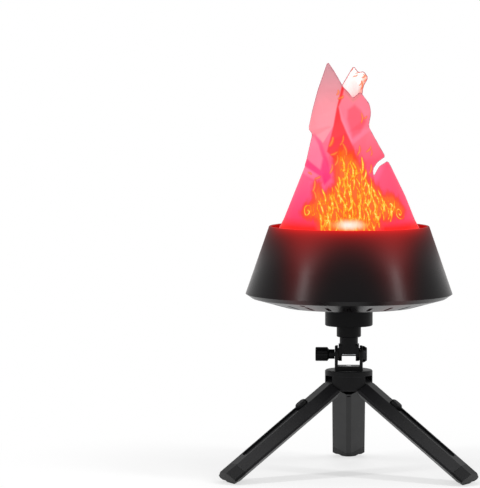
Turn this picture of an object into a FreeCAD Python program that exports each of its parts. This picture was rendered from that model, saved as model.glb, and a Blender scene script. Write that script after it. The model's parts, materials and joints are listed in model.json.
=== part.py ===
import FreeCAD, Part
import math
import os
import sys

import Sketcher

# A flame effect lantern on a folding table tripod.
# Frame: origin on the tripod's axis at floor level, +Z up, -Y towards the viewer, millimetres.
# The lantern is a conical bowl with a fan and a ring of lamps that blow and light a silk flame.
# The tripod is a hub with three telescoping legs, a tilting fork and a turning platform.

# Driving sizes in millimetres. Names in _angle are degrees, in _count plain counts.
SIZES = {
    # Bowl, measured from the lantern's underside
    "bowl_height": 82.1,
    "rim_radius": 81.2,
    "wide_radius": 105.0,
    "wide_height": 13.5,
    "bowl_wall": 2.5,
    "rim_round": 0.9,
    "ledge_width": 8.0,
    "ledge_thickness": 2.2,
    "wall_clearance": 0.4,
    # Base cover, the dish under the bowl
    "flat_radius": 66.0,
    "shoulder_inset": 6.5,
    "shoulder_height": 9.0,
    "cover_wall": 2.5,
    "lip_height": 4.0,
    "lip_thickness": 2.2,
    "vent_count": 24,
    "vent_width": 4.0,
    "vent_start_share": 0.123,
    "vent_end_share": 0.615,
    "base_screw_count": 3,
    "base_boss_inset": 3.3,
    "base_boss_radius": 4.2,
    "base_boss_length": 16.0,
    "base_screw_radius": 1.6,
    "base_head_radius": 2.8,
    "base_head_height": 2.0,
    "base_recess_depth": 5.0,
    # Threaded insert under the lantern
    "insert_radius": 5.0,
    "insert_length": 11.0,
    "insert_wall": 3.0,
    "insert_rim": 1.2,
    # Flame deck, the plate that closes the bowl
    "deck_drop": 11.1,
    "deck_thickness": 2.5,
    "deck_hole_radius": 38.5,
    "hook_count": 3,
    "hook_inset": 4.5,
    "hook_hole_radius": 2.0,
    "hook_room": 2.0,
    "deck_screw_count": 3,
    "deck_screw_inset": 3.2,
    "deck_screw_radius": 1.4,
    "deck_screw_length": 4.2,
    "deck_head_radius": 2.4,
    "deck_head_height": 1.4,
    # Lamps
    "lamp_count": 12,
    "lamp_ring": 61.5,
    "lamp_radius": 4.0,
    "lamp_base_height": 1.6,
    "lamp_window_radius": 5.2,
    "board_inner_radius": 55.5,
    "board_outer_radius": 69.0,
    "board_thickness": 1.6,
    "board_post_count": 6,
    "board_post_radius": 2.4,
    "board_post_length": 4.4,
    "board_post_ring": 66.0,
    "board_screw_radius": 1.1,
    "board_head_radius": 2.0,
    "board_head_height": 1.2,
    # Fan
    "fan_side": 80.0,
    "fan_height": 25.0,
    "fan_bore_radius": 38.0,
    "fan_tube_wall": 2.0,
    "fan_flange": 4.0,
    "fan_corner_round": 4.0,
    "fan_hole_spacing": 71.5,
    "fan_hole_radius": 2.1,
    "fan_gap": 8.5,
    "fan_hub_radius": 18.0,
    "fan_hub_wall": 1.5,
    "fan_blade_count": 7,
    "fan_blade_thickness": 1.6,
    "fan_root_chord": 15.0,
    "fan_tip_chord": 22.0,
    "fan_root_angle": 50,
    "fan_tip_angle": 30,
    "fan_tip_clearance": 1.0,
    "fan_rotor_height": 17.0,
    "fan_rotor_lift": 5.0,
    "fan_shaft_radius": 1.5,
    "fan_bearing_radius": 4.5,
    "fan_bearing_length": 9.0,
    "fan_motor_radius": 13.0,
    "fan_motor_height": 9.0,
    "fan_strut_width": 3.4,
    "fan_strut_height": 2.5,
    "fan_screw_radius": 1.9,
    "fan_head_radius": 3.4,
    "fan_head_height": 2.0,
    "fan_spacer_radius": 3.4,
    "shaft_clearance": 0.05,
    # Fan guard
    "guard_radius": 53.5,
    "guard_thickness": 1.2,
    "guard_ring_width": 2.4,
    "guard_ring_pitch": 10.0,
    "guard_bar_count": 3,
    "guard_bar_width": 2.6,
    "guard_centre_radius": 8.0,
    # Silk flame and its hoop
    "hoop_inset": 3.0,
    "hoop_wire": 1.1,
    "clip_count": 6,
    "clip_width": 7.0,
    "clip_depth": 4.6,
    "clip_height": 3.4,
    "silk_inset": 8.2,
    "silk_height": 176.7,
    "silk_thickness": 1.4,
    "silk_gap": 0.3,
    "silk_fold_depth": 3.2,
    "silk_lift": 0.3,
    # Driver board
    "driver_width": 56.0,
    "driver_depth": 36.0,
    "driver_distance": 37.0,
    "driver_post_radius": 2.4,
    "driver_post_height": 4.0,
    "driver_post_inset": 3.4,
    "driver_screw_radius": 1.1,
    "driver_part_height": 12.0,
    # Power inlet in the back wall
    "jack_rise": 8.7,
    "jack_radius": 4.2,
    "jack_clearance": 0.15,
    "jack_length": 12.0,
    "jack_flange_radius": 6.0,
    "jack_flange_thickness": 1.4,
    "jack_nut_radius": 6.4,
    "jack_nut_thickness": 2.0,
    "jack_nut_gap": 0.25,
    "jack_bore_radius": 2.75,
    "jack_bore_depth": 9.5,
    "jack_pin_radius": 1.05,
    # Platform
    "platform_radius": 24.2,
    "platform_height": 18.0,
    "platform_rise": 29.3,
    "platform_edge": 1.2,
    "platform_floor": 5.0,
    "collar_radius": 12.4,
    "collar_height": 11.5,
    "collar_edge": 0.8,
    "plate_radius": 20.0,
    "plate_thickness": 4.3,
    "plate_clearance": 0.2,
    "plate_screw_count": 3,
    "plate_screw_ring": 15.0,
    "plate_screw_radius": 1.3,
    "plate_head_radius": 2.4,
    "plate_head_height": 1.3,
    "plate_screw_length": 7.5,
    "pad_thickness": 1.2,
    "stud_radius": 3.175,
    "stud_rise": 8.0,
    "stud_flange_radius": 6.5,
    "stud_flange_height": 2.0,
    "stud_clearance": 0.1,
    "spigot_radius": 6.5,
    "spigot_clearance": 0.06,
    "spigot_gap": 0.1,
    "pan_screw_radius": 2.0,
    "pan_screw_length": 12.0,
    "pan_head_radius": 8.5,
    "pan_head_height": 2.2,
    "pan_pocket_radius": 10.0,
    # Tilting yoke
    "neck_radius": 9.3,
    "neck_bottom": 10.5,
    "block_bottom": 0.6,
    "yoke_half_width": 10.4,
    "yoke_ear": 3.4,
    "yoke_ear_radius": 7.0,
    "washer_thickness": 0.6,
    "washer_radius": 6.4,
    "washer_gap": 0.05,
    # Lower fork
    "fork_ear": 3.2,
    "fork_ear_radius": 9.0,
    "fork_base": 4.0,
    "fork_round": 1.2,
    "pivot_rise": 15.8,
    # Clamp
    "bolt_radius": 2.0,
    "bolt_clearance": 0.06,
    "knob_neck_radius": 4.9,
    "knob_neck_length": 7.3,
    "knob_radius": 7.1,
    "knob_length": 12.2,
    "knob_taper": 1.6,
    "knob_round": 1.0,
    "knob_flute_count": 10,
    "knob_flute_radius": 1.3,
    "knob_gap": 0.2,
    "knob_end": 3.0,
    "nut_flats": 14.8,
    "nut_thickness": 4.2,
    "nut_face_radius": 6.6,
    "nut_chamfer_angle": 60,
    # Hub
    "hub_radius": 24.2,
    "hub_rise": 6.5,
    "hub_drop": 8.2,
    "hub_edge": 1.0,
    "cap_thickness": 5.2,
    "slot_gap": 0.35,
    "core_radius": 7.6,
    "hub_screw_radius": 3.0,
    "hub_screw_clearance": 0.2,
    "hub_head_radius": 4.8,
    "hub_head_height": 3.6,
    "hub_head_recess": 5.0,
    "pin_radius": 1.5,
    "pin_half_length": 17.0,
    "pin_clearance": 0.05,
    # Legs, measured from the hinge pin along the leg, and across it from the folded centre
    "leg_count": 3,
    "leg_slope_angle": 35,
    "leg_length": 155.0,
    "pin_offset": 14.0,
    "foot_edge": 6.0,
    "section_apex": 1.85,
    "section_face": 0.35,
    "section_half_width": 17.0,
    "section_side": 12.8,
    "section_flat_half": 6.4,
    "section_top": 19.7,
    "leg_wall": 1.6,
    "leg_start": 10.0,
    "leg_head": 5.0,
    "knuckle_half_width": 6.5,
    "knuckle_radius": 5.2,
    "stop_gap": 0.15,
    "cap_length": 13.5,
    "cap_gap": 0.2,
    "slide_clearance": 0.3,
    "extension_start": 31.0,
    "slot_half_width": 5.0,
    "slot_start": 38.6,
    "slot_end_margin": 14.3,
    "button_place": 45.6,
    "button_half_width": 4.7,
    "button_half_length": 6.6,
    "button_proud": 3.8,
    "button_depth": 5.4,
    "button_round": 2.2,
    "button_clearance": 0.2,
    "well_depth": 11.0,
    "spring_thickness": 0.5,
    "spring_half_width": 3.0,
    "foot_thickness": 1.8,
    "foot_inset": 0.8,
    "recess_half_width": 2.0,
    "recess_start": 13.0,
    "recess_length": 2.2,
    "recess_depth": 0.8,
    # One overrun for every cut that goes right through
    "overrun": 2.0,
}

# The flame's outline from the front: places across as shares of the silk's radius,
# places up as shares of its height, round the outline from the lower left.
FRONT_OUTLINE_SHARES = [
    (-1.2, -0.1), (-1.2, 0.09), (-0.90, 0.12), (-0.70, 0.342), (-0.62, 0.40), (-0.58, 0.445),
    (-0.50, 0.592), (-0.555, 0.62), (-0.505, 0.72), (-0.43, 0.84), (-0.30, 1.0), (-0.19, 0.93),
    (-0.09, 0.86), (-0.02, 0.83), (0.045, 0.795), (0.15, 0.83), (0.28, 0.76), (0.30, 0.71),
    (0.265, 0.635), (0.38, 0.55), (0.49, 0.465), (0.39, 0.435), (0.325, 0.395), (0.335, 0.35),
    (0.42, 0.41), (0.525, 0.438), (0.62, 0.36), (0.93, 0.10), (1.2, 0.05), (1.2, -0.1),
]
BACK_OUTLINE_SHARES = [
    (-1.2, -0.1), (-1.2, 0.05), (-0.66, 0.30), (-0.52, 0.46), (-0.40, 0.57), (-0.30, 0.70),
    (-0.18, 0.80), (-0.08, 0.88), (0.055, 0.975), (0.12, 0.94), (0.20, 0.945), (0.26, 0.91),
    (0.19, 0.86), (0.17, 0.80), (0.27, 0.70), (0.25, 0.60), (0.29, 0.50), (0.28, 0.36),
    (0.66, 0.28), (1.2, 0.05), (1.2, -0.1),
]

# The silk's cross-sections: height, half width, half depth and depth of its folds, each a share.
SILK_SECTION_SHARES = [
    (0.0, 1.0, 1.0, 0.0),
    (0.022, 1.0, 1.0, 0.0),
    (0.10, 0.90, 0.87, 0.7),
    (0.40, 0.61, 0.54, 1.0),
    (0.62, 0.57, 0.32, 1.0),
    (0.83, 0.48, 0.17, 0.8),
    (1.0, 0.38, 0.09, 0.5),
]
SILK_FOLD_COUNT = 7


class Size:
    """A value together with the sheet formula that gives it."""

    def __init__(self, value, formula):
        self.value = float(value)
        self.formula = formula

    def __add__(self, other):
        other = as_size(other)
        return Size(self.value + other.value, "(%s + %s)" % (self.formula, other.formula))

    def __sub__(self, other):
        other = as_size(other)
        return Size(self.value - other.value, "(%s - %s)" % (self.formula, other.formula))

    def __mul__(self, other):
        other = as_size(other)
        return Size(self.value * other.value, "(%s * %s)" % (self.formula, other.formula))

    def __truediv__(self, other):
        other = as_size(other)
        return Size(self.value / other.value, "(%s / %s)" % (self.formula, other.formula))

    def __neg__(self):
        return Size(-self.value, "(0 - %s)" % self.formula)


def as_size(number):
    """A plain number becomes a Size that reads as itself."""
    if isinstance(number, Size):
        return number
    return Size(number, "(%s)" % repr(float(number)))


def root(size):
    """Square root of a size."""
    return Size(math.sqrt(size.value), "sqrt(%s)" % size.formula)


def cosine(angle):
    """Cosine of an angle in degrees."""
    return Size(math.cos(math.radians(angle.value)), "cos(%s)" % angle.formula)


def sine(angle):
    """Sine of an angle in degrees."""
    return Size(math.sin(math.radians(angle.value)), "sin(%s)" % angle.formula)


class Names:
    """Holds each size under its own name."""


document = FreeCAD.newDocument("FlameLantern")
sheet = document.addObject("Spreadsheet::Sheet", "Sizes")
S = Names()
for row, (alias, number) in enumerate(SIZES.items(), start=1):
    sheet.set("A%d" % row, alias)
    sheet.set("B%d" % row, str(number))
    sheet.setAlias("B%d" % row, alias)
    setattr(S, alias, Size(number, "Sizes." + alias))
document.recompute()

ZERO = as_size(0)

# Heights above the floor
PIN_HEIGHT = (
    S.leg_length * sine(S.leg_slope_angle)
    + (S.pin_offset - S.foot_edge) * cosine(S.leg_slope_angle)
)
CAP_TOP = PIN_HEIGHT + S.hub_rise + S.cap_thickness
PIVOT_HEIGHT = CAP_TOP + S.pivot_rise
LANTERN_HEIGHT = PIVOT_HEIGHT + S.platform_rise + S.platform_height + S.pad_thickness


def count_of(size):
    """A size that is a whole number."""
    return int(round(size.value))


def origin_feature(body, role):
    """One of the planes or axes of a body's own origin."""
    for feature in body.Origin.OriginFeatures:
        if feature.Role == role:
            return feature
    raise ValueError("no origin feature " + role)


def new_body(name, height=None):
    """A body whose label is the piece's name, lifted to a height above the floor."""
    body = document.addObject("PartDesign::Body", name)
    body.Label = name
    if height is not None:
        body.setExpression("Placement.Base.z", height.formula)
    return body


def tie(sketch, constraint, size):
    """Adds a constraint and ties it to the sheet."""
    index = sketch.addConstraint(constraint)
    sketch.setExpression("Constraints[%d]" % index, size.formula)


def new_sketch(body, role, name, offset=None):
    """A sketch on one of the body's own planes, lifted off it by an offset."""
    sketch = body.newObject("Sketcher::SketchObject", body.Name + name)
    sketch.AttachmentSupport = [(origin_feature(body, role), "")]
    sketch.MapMode = "FlatFace"
    if offset is not None:
        sketch.setExpression(".AttachmentOffset.Base.z", offset.formula)
    return sketch


def draw_outline(sketch, points):
    """A closed outline of straight edges, each corner tied to the sheet."""
    first = sketch.GeometryCount
    total = len(points)
    vectors = [FreeCAD.Vector(x.value, y.value, 0) for x, y in points]
    for index in range(total):
        line = Part.LineSegment(vectors[index], vectors[(index + 1) % total])
        sketch.addGeometry(line, False)
    for index in range(total):
        here = first + index
        following = first + (index + 1) % total
        sketch.addConstraint(Sketcher.Constraint("Coincident", here, 2, following, 1))
    for index, (x, y) in enumerate(points):
        here = first + index
        tie(sketch, Sketcher.Constraint("DistanceX", -1, 1, here, 1, x.value), x)
        tie(sketch, Sketcher.Constraint("DistanceY", -1, 1, here, 1, y.value), y)


def draw_circle(sketch, radius, x=ZERO, y=ZERO):
    """A circle with its radius and centre tied to the sheet."""
    centre = FreeCAD.Vector(x.value, y.value, 0)
    circle = Part.Circle(centre, FreeCAD.Vector(0, 0, 1), radius.value)
    index = sketch.addGeometry(circle, False)
    tie(sketch, Sketcher.Constraint("Radius", index, radius.value), radius)
    tie(sketch, Sketcher.Constraint("DistanceX", -1, 1, index, 3, x.value), x)
    tie(sketch, Sketcher.Constraint("DistanceY", -1, 1, index, 3, y.value), y)


def draw_slot(sketch, start, end, radius):
    """A slot along the sketch's own first axis, between two end centres."""
    up = FreeCAD.Vector(0, 0, 1)
    half_turn = math.pi / 2
    left = Part.Circle(FreeCAD.Vector(start.value, 0, 0), up, radius.value)
    right = Part.Circle(FreeCAD.Vector(end.value, 0, 0), up, radius.value)
    a = sketch.addGeometry(Part.ArcOfCircle(left, half_turn, 3 * half_turn), False)
    b = sketch.addGeometry(Part.ArcOfCircle(right, -half_turn, half_turn), False)
    low = [FreeCAD.Vector(place.value, -radius.value, 0) for place in (start, end)]
    high = [FreeCAD.Vector(place.value, radius.value, 0) for place in (end, start)]
    c = sketch.addGeometry(Part.LineSegment(low[0], low[1]), False)
    d = sketch.addGeometry(Part.LineSegment(high[0], high[1]), False)
    for line, line_end, arc, arc_end in ((c, 1, a, 2), (c, 2, b, 1), (d, 1, b, 2), (d, 2, a, 1)):
        sketch.addConstraint(Sketcher.Constraint("Tangent", line, line_end, arc, arc_end))
    tie(sketch, Sketcher.Constraint("Radius", a, radius.value), radius)
    tie(sketch, Sketcher.Constraint("DistanceX", -1, 1, a, 3, start.value), start)
    tie(sketch, Sketcher.Constraint("DistanceX", -1, 1, b, 3, end.value), end)
    tie(sketch, Sketcher.Constraint("DistanceY", -1, 1, a, 3, 0.0), ZERO)
    tie(sketch, Sketcher.Constraint("DistanceY", -1, 1, b, 3, 0.0), ZERO)


def volume_of(body):
    """The volume that a body has after a recompute."""
    document.recompute()
    return body.Shape.Volume


def feature(body, kind, sketch, label):
    """A feature of a body, made from a sketch."""
    made = body.newObject("PartDesign::" + kind, body.Name + label)
    made.Profile = sketch
    return made


def pad(body, sketch, length, label, symmetric=False, backwards=False):
    """Adds material from a sketch along its normal."""
    before = volume_of(body) if body.Tip else 0.0
    made = feature(body, "Pad", sketch, label)
    made.setExpression("Length", length.formula)
    made.Midplane = symmetric
    made.Reversed = backwards
    if volume_of(body) <= before:
        raise ValueError("nothing added by " + made.Name)
    return made


def pocket(body, sketch, length, label, symmetric=False, backwards=False):
    """Cuts a sketch out of a body, against the sketch's normal unless turned backwards."""
    before = volume_of(body)
    made = feature(body, "Pocket", sketch, label)
    made.setExpression("Length", length.formula)
    made.Midplane = symmetric
    made.Reversed = backwards
    if volume_of(body) >= before:
        raise ValueError("nothing cut by " + made.Name)
    return made


def revolve(body, sketch, label):
    """Turns a sketch once round its own vertical axis."""
    made = feature(body, "Revolution", sketch, label)
    made.ReferenceAxis = (sketch, ["V_Axis"])
    made.Angle = 360
    if volume_of(body) <= 0:
        raise ValueError("nothing turned by " + made.Name)
    return made


def groove(body, sketch, label):
    """Cuts a sketch away round the body's own vertical axis."""
    before = volume_of(body)
    made = feature(body, "Groove", sketch, label)
    made.ReferenceAxis = (sketch, ["V_Axis"])
    made.Angle = 360
    if volume_of(body) >= before:
        raise ValueError("nothing cut by " + made.Name)
    return made


def polar(body, originals, count, label, axis="Z_Axis"):
    """Repeats features round one of the body's own axes."""
    document.recompute()
    made = body.newObject("PartDesign::PolarPattern", body.Name + label)
    made.Originals = originals
    made.Axis = (origin_feature(body, axis), [""])
    made.Angle = 360
    made.setExpression("Occurrences", count.formula)
    body.Tip = made
    document.recompute()
    return made


def dress(body, kind, test, size, label):
    """A fillet or chamfer on the edges that pass a test of their middle point."""
    document.recompute()
    base = body.Tip
    names = []
    for index, edge in enumerate(base.Shape.Edges, start=1):
        middle = edge.valueAt((edge.FirstParameter + edge.LastParameter) / 2)
        if test(edge, middle):
            names.append("Edge%d" % index)
    if not names:
        raise ValueError("no edge for %s%s" % (body.Name, label))
    made = body.newObject("PartDesign::" + kind, body.Name + label)
    made.Base = (base, names)
    made.setExpression("Radius" if kind == "Fillet" else "Size", size.formula)
    document.recompute()
    return made


def is_close(a, b):
    """Whether two lengths are the same within a small share of the leg's wall."""
    return abs(a - b) < S.leg_wall.value / 100


def is_ring(edge, middle, radius, height):
    """Whether an edge is part of a circle round Z with this radius at this height."""
    return is_close(math.hypot(middle.x, middle.y), radius.value) and is_close(
        middle.z, height.value
    )


def turned(name, points, height=None):
    """A body turned round Z from an outline of radius and height."""
    body = new_body(name, height)
    sketch = new_sketch(body, "XZ_Plane", "Profile")
    draw_outline(sketch, points)
    revolve(body, sketch, "Turn")
    return body


def disc(body, radius, start, length, label, bore=None, x=ZERO, y=ZERO):
    """Adds a disc or a ring between two heights."""
    sketch = new_sketch(body, "XY_Plane", label + "Sketch", start)
    draw_circle(sketch, radius, x, y)
    if bore is not None:
        draw_circle(sketch, bore, x, y)
    return pad(body, sketch, length, label)


def hole(body, radius, top, length, label, x=ZERO, y=ZERO):
    """Cuts a round hole downwards from a height."""
    sketch = new_sketch(body, "XY_Plane", label + "Sketch", top)
    draw_circle(sketch, radius, x, y)
    return pocket(body, sketch, length, label)


def block(body, low, high, start, length, label):
    """Adds a rectangular block between two corners and two heights."""
    sketch = new_sketch(body, "XY_Plane", label + "Sketch", start)
    (x0, y0), (x1, y1) = low, high
    draw_outline(sketch, [(x0, y0), (x1, y0), (x1, y1), (x0, y1)])
    return pad(body, sketch, length, label)


# Lantern. Heights here are above the lantern's underside.

WALL_RUN = (S.wide_radius - S.rim_radius) / (S.bowl_height - S.wide_height)
WALL_ANGLE = math.degrees(math.atan(WALL_RUN.value))
WALL_LEVEL = S.bowl_wall * root(WALL_RUN * WALL_RUN + 1)
SHOULDER_RADIUS = S.wide_radius - S.shoulder_inset
DECK_TOP = S.bowl_height - S.deck_drop
DECK_UNDER = DECK_TOP - S.deck_thickness
LIP_TOP = S.wide_height + S.lip_height
FAN_TOP = DECK_UNDER - S.fan_gap
FAN_FLOOR = FAN_TOP - S.fan_height
BOARD_TOP = DECK_UNDER - S.board_post_length
GUARD_TOP = DECK_TOP + S.guard_thickness


def outer_wall(height):
    """Radius of the bowl's outer face at a height."""
    return S.wide_radius - WALL_RUN * (height - S.wide_height)


def inner_wall(height):
    """Radius of the bowl's inner face at a height."""
    return outer_wall(height) - WALL_LEVEL


LIP_RADIUS = inner_wall(LIP_TOP) - S.wall_clearance
LEDGE_RADIUS = inner_wall(DECK_UNDER) - S.ledge_width
DECK_RADIUS = inner_wall(DECK_TOP) - S.wall_clearance
DECK_SCREW_RING = DECK_RADIUS - S.deck_screw_inset
BOSS_FLOOR = LIP_TOP + S.wall_clearance
BOSS_TOP = BOSS_FLOOR + S.base_boss_length
BASE_SCREW_RING = inner_wall(BOSS_TOP) - S.base_boss_inset
RIM_INNER = S.rim_radius - WALL_LEVEL
HOOK_RING = DECK_RADIUS - S.hook_inset
SILK_RADIUS = DECK_RADIUS - S.silk_inset
HOOP_RADIUS = SILK_RADIUS - S.hoop_inset
JACK_HEIGHT = LIP_TOP + S.jack_rise


def jack_frame():
    """Placement on the back wall's outer face, with Z along the wall's outward normal."""
    wall = outer_wall(JACK_HEIGHT).value
    tilt = FreeCAD.Rotation(FreeCAD.Vector(1, 0, 0), WALL_ANGLE - 90)
    return FreeCAD.Placement(FreeCAD.Vector(0, wall, JACK_HEIGHT.value), tilt)


def bowl_shell():
    """Conical wall with an inner ledge for the deck and bosses for the base screws."""
    ledge_under = DECK_UNDER - S.ledge_thickness
    body = turned(
        "bowl_shell",
        [
            (S.wide_radius, S.wide_height),
            (S.rim_radius, S.bowl_height),
            (RIM_INNER, S.bowl_height),
            (inner_wall(DECK_UNDER), DECK_UNDER),
            (LEDGE_RADIUS, DECK_UNDER),
            (LEDGE_RADIUS, ledge_under),
            (inner_wall(ledge_under), ledge_under),
            (inner_wall(S.wide_height), S.wide_height),
        ],
        LANTERN_HEIGHT,
    )
    rim = (S.rim_radius, RIM_INNER)
    dress(
        body,
        "Fillet",
        lambda edge, middle: any(is_ring(edge, middle, radius, S.bowl_height) for radius in rim),
        S.rim_round,
        "RimRound",
    )
    web = new_sketch(body, "XZ_Plane", "WebSketch")
    draw_outline(
        web,
        [
            (BASE_SCREW_RING, BOSS_FLOOR),
            (inner_wall(BOSS_FLOOR) + S.bowl_wall / 2, BOSS_FLOOR),
            (inner_wall(BOSS_TOP) + S.bowl_wall / 2, BOSS_TOP),
            (BASE_SCREW_RING, BOSS_TOP),
        ],
    )
    web_pad = pad(body, web, S.bowl_wall, "Web", symmetric=True)
    boss = disc(
        body, S.base_boss_radius, BOSS_FLOOR, S.base_boss_length, "Boss", x=BASE_SCREW_RING
    )
    polar(body, [web_pad, boss], S.base_screw_count, "Bosses")
    bore = hole(
        body,
        S.base_screw_radius,
        BOSS_TOP - S.bowl_wall,
        S.base_boss_length,
        "BossBore",
        x=BASE_SCREW_RING,
    )
    polar(body, [bore], S.base_screw_count, "BossBores")
    room = hole(
        body,
        S.hook_hole_radius + S.hook_room,
        DECK_UNDER,
        S.ledge_thickness + S.overrun,
        "HookRoom",
        y=HOOK_RING,
    )
    polar(body, [room], S.hook_count, "HookRooms")
    screw = hole(
        body,
        S.deck_screw_radius,
        DECK_UNDER,
        S.ledge_thickness + S.overrun,
        "LedgeHole",
        y=-DECK_SCREW_RING,
    )
    polar(body, [screw], S.deck_screw_count, "LedgeHoles")
    place = jack_frame()
    inlet = body.newObject("Sketcher::SketchObject", "bowl_shellInletSketch")
    inlet.AttachmentSupport = [(origin_feature(body, "XY_Plane"), "")]
    inlet.MapMode = "FlatFace"
    inlet.AttachmentOffset = place
    draw_circle(inlet, S.jack_radius + S.jack_clearance)
    pocket(body, inlet, S.bowl_wall * 4, "Inlet", symmetric=True)
    return body


def base_cover():
    """Dish under the bowl, with air slots, screw bosses and the boss of the threaded insert."""
    insert_hole = S.insert_radius + S.shaft_clearance
    boss_radius = S.insert_radius + S.insert_wall
    body = turned(
        "base_cover",
        [
            (insert_hole, ZERO),
            (S.flat_radius, ZERO),
            (SHOULDER_RADIUS, S.shoulder_height),
            (S.wide_radius, S.wide_height),
            (LIP_RADIUS, S.wide_height),
            (LIP_RADIUS, LIP_TOP),
            (LIP_RADIUS - S.lip_thickness, LIP_TOP),
            (LIP_RADIUS - S.lip_thickness, S.shoulder_height + S.cover_wall),
            (S.flat_radius, S.cover_wall),
            (boss_radius, S.cover_wall),
            (boss_radius, S.insert_length),
            (insert_hole, S.insert_length),
        ],
        LANTERN_HEIGHT,
    )
    posts = new_sketch(body, "XY_Plane", "PostSketch", S.cover_wall / 2)
    half_width = S.driver_width / 2 - S.driver_post_inset
    half_depth = S.driver_depth / 2 - S.driver_post_inset
    for x in (-half_width, half_width):
        for y in (S.driver_distance - half_depth, S.driver_distance + half_depth):
            draw_circle(posts, S.driver_post_radius, x, y)
            draw_circle(posts, S.driver_screw_radius, x, y)
    pad(body, posts, S.driver_post_height + S.cover_wall / 2, "Posts")
    slope = S.shoulder_height / (SHOULDER_RADIUS - S.flat_radius)
    boss_start = slope * (BASE_SCREW_RING + S.base_boss_radius - S.flat_radius)
    boss = disc(
        body,
        S.base_boss_radius,
        boss_start,
        BOSS_FLOOR - boss_start,
        "Boss",
        x=BASE_SCREW_RING,
    )
    polar(body, [boss], S.base_screw_count, "Bosses")
    shaft = hole(
        body,
        S.base_screw_radius + S.pin_clearance,
        BOSS_FLOOR + S.overrun,
        BOSS_FLOOR + S.overrun,
        "ScrewHole",
        x=BASE_SCREW_RING,
    )
    recess_top = BOSS_FLOOR - S.base_recess_depth
    recess = hole(
        body,
        S.base_head_radius + S.stud_clearance,
        recess_top,
        recess_top,
        "ScrewRecess",
        x=BASE_SCREW_RING,
    )
    polar(body, [shaft, recess], S.base_screw_count, "ScrewHoles")
    slot = new_sketch(body, "XY_Plane", "VentSketch", S.shoulder_height + S.cover_wall)
    vent_end = S.vent_width / 2
    dish_run = SHOULDER_RADIUS - S.flat_radius
    vent_start = S.flat_radius + dish_run * S.vent_start_share
    vent_stop = S.flat_radius + dish_run * S.vent_end_share
    draw_slot(slot, vent_start + vent_end, vent_stop - vent_end, vent_end)
    vent = pocket(body, slot, S.shoulder_height + S.cover_wall, "Vent")
    polar(body, [vent], S.vent_count, "Vents")
    return body


def screw_ring(name, height, count, shank, head, start=0):
    """Screws set round Z. shank and head are radius, lower end and length; start turns them."""
    body = new_body(name, height)
    (radius, low, length), (head_radius, head_low, head_length), ring = shank, head[:3], head[3]
    x = ring if start == 0 else ZERO
    y = ZERO if start == 0 else ring * start
    first = disc(body, radius, low, length, "Shank", x=x, y=y)
    second = disc(body, head_radius, head_low, head_length, "Head", x=x, y=y)
    polar(body, [first, second], count, "Ring")
    return body


def base_screws():
    """Three screws that hold the base cover to the bowl's bosses."""
    recess_top = BOSS_FLOOR - S.base_recess_depth
    length = S.base_recess_depth + S.base_boss_length - S.bowl_wall * 2
    return screw_ring(
        "base_screws",
        LANTERN_HEIGHT,
        S.base_screw_count,
        (S.base_screw_radius - S.shaft_clearance, recess_top, length),
        (
            S.base_head_radius,
            recess_top - S.base_head_height,
            S.base_head_height,
            BASE_SCREW_RING,
        ),
    )


def thread_insert():
    """Brass insert that the platform's stud screws into."""
    bore = S.stud_radius + S.stud_clearance
    return turned(
        "thread_insert",
        [
            (bore, ZERO),
            (S.insert_radius, ZERO),
            (S.insert_radius, S.insert_length),
            (S.insert_radius + S.insert_rim, S.insert_length),
            (S.insert_radius + S.insert_rim, S.insert_length + S.insert_rim),
            (bore, S.insert_length + S.insert_rim),
        ],
        LANTERN_HEIGHT,
    )


def flame_deck():
    """Plate that closes the bowl, with the fan's opening, lamp windows and hook holes."""
    body = new_body("flame_deck", LANTERN_HEIGHT)
    disc(body, DECK_RADIUS, DECK_UNDER, S.deck_thickness, "Plate", bore=S.deck_hole_radius)
    above = DECK_TOP + S.overrun
    through = S.deck_thickness + S.overrun * 2
    window = hole(body, S.lamp_window_radius, above, through, "Window", x=S.lamp_ring)
    polar(body, [window], S.lamp_count, "Windows")
    hook = hole(body, S.hook_hole_radius, above, through, "HookHole", y=HOOK_RING)
    polar(body, [hook], S.hook_count, "HookHoles")
    screw = hole(
        body,
        S.deck_screw_radius + S.shaft_clearance,
        above,
        through,
        "ScrewHole",
        y=-DECK_SCREW_RING,
    )
    polar(body, [screw], S.deck_screw_count, "ScrewHoles")
    half_pitch = as_size(180) / S.lamp_count
    post_x = S.board_post_ring * cosine(half_pitch)
    post_y = S.board_post_ring * sine(half_pitch)
    post = disc(
        body,
        S.board_post_radius,
        BOARD_TOP,
        S.board_post_length,
        "Post",
        bore=S.board_screw_radius,
        x=post_x,
        y=post_y,
    )
    polar(body, [post], S.board_post_count, "Posts")
    for index, (x, y) in enumerate(fan_corners()):
        hole(body, S.fan_hole_radius, above, through, "FanHole%d" % index, x=x, y=y)
    return body


def deck_screws():
    """Three screws that hold the deck on the bowl's ledge."""
    return screw_ring(
        "deck_screws",
        LANTERN_HEIGHT,
        S.deck_screw_count,
        (S.deck_screw_radius - S.shaft_clearance, DECK_TOP - S.deck_screw_length,
         S.deck_screw_length),
        (S.deck_head_radius, DECK_TOP, S.deck_head_height, DECK_SCREW_RING),
        start=-1,
    )


def led_board():
    """Ring board under the deck that carries the lamps."""
    body = new_body("led_board", LANTERN_HEIGHT)
    floor = BOARD_TOP - S.board_thickness
    disc(
        body,
        S.board_outer_radius,
        floor,
        S.board_thickness,
        "Ring",
        bore=S.board_inner_radius,
    )
    half_pitch = as_size(180) / S.lamp_count
    screw = hole(
        body,
        S.board_screw_radius + S.shaft_clearance,
        BOARD_TOP + S.overrun,
        S.board_thickness + S.overrun * 2,
        "ScrewHole",
        x=S.board_post_ring * cosine(half_pitch),
        y=S.board_post_ring * sine(half_pitch),
    )
    polar(body, [screw], S.board_post_count, "ScrewHoles")
    return body


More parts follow.
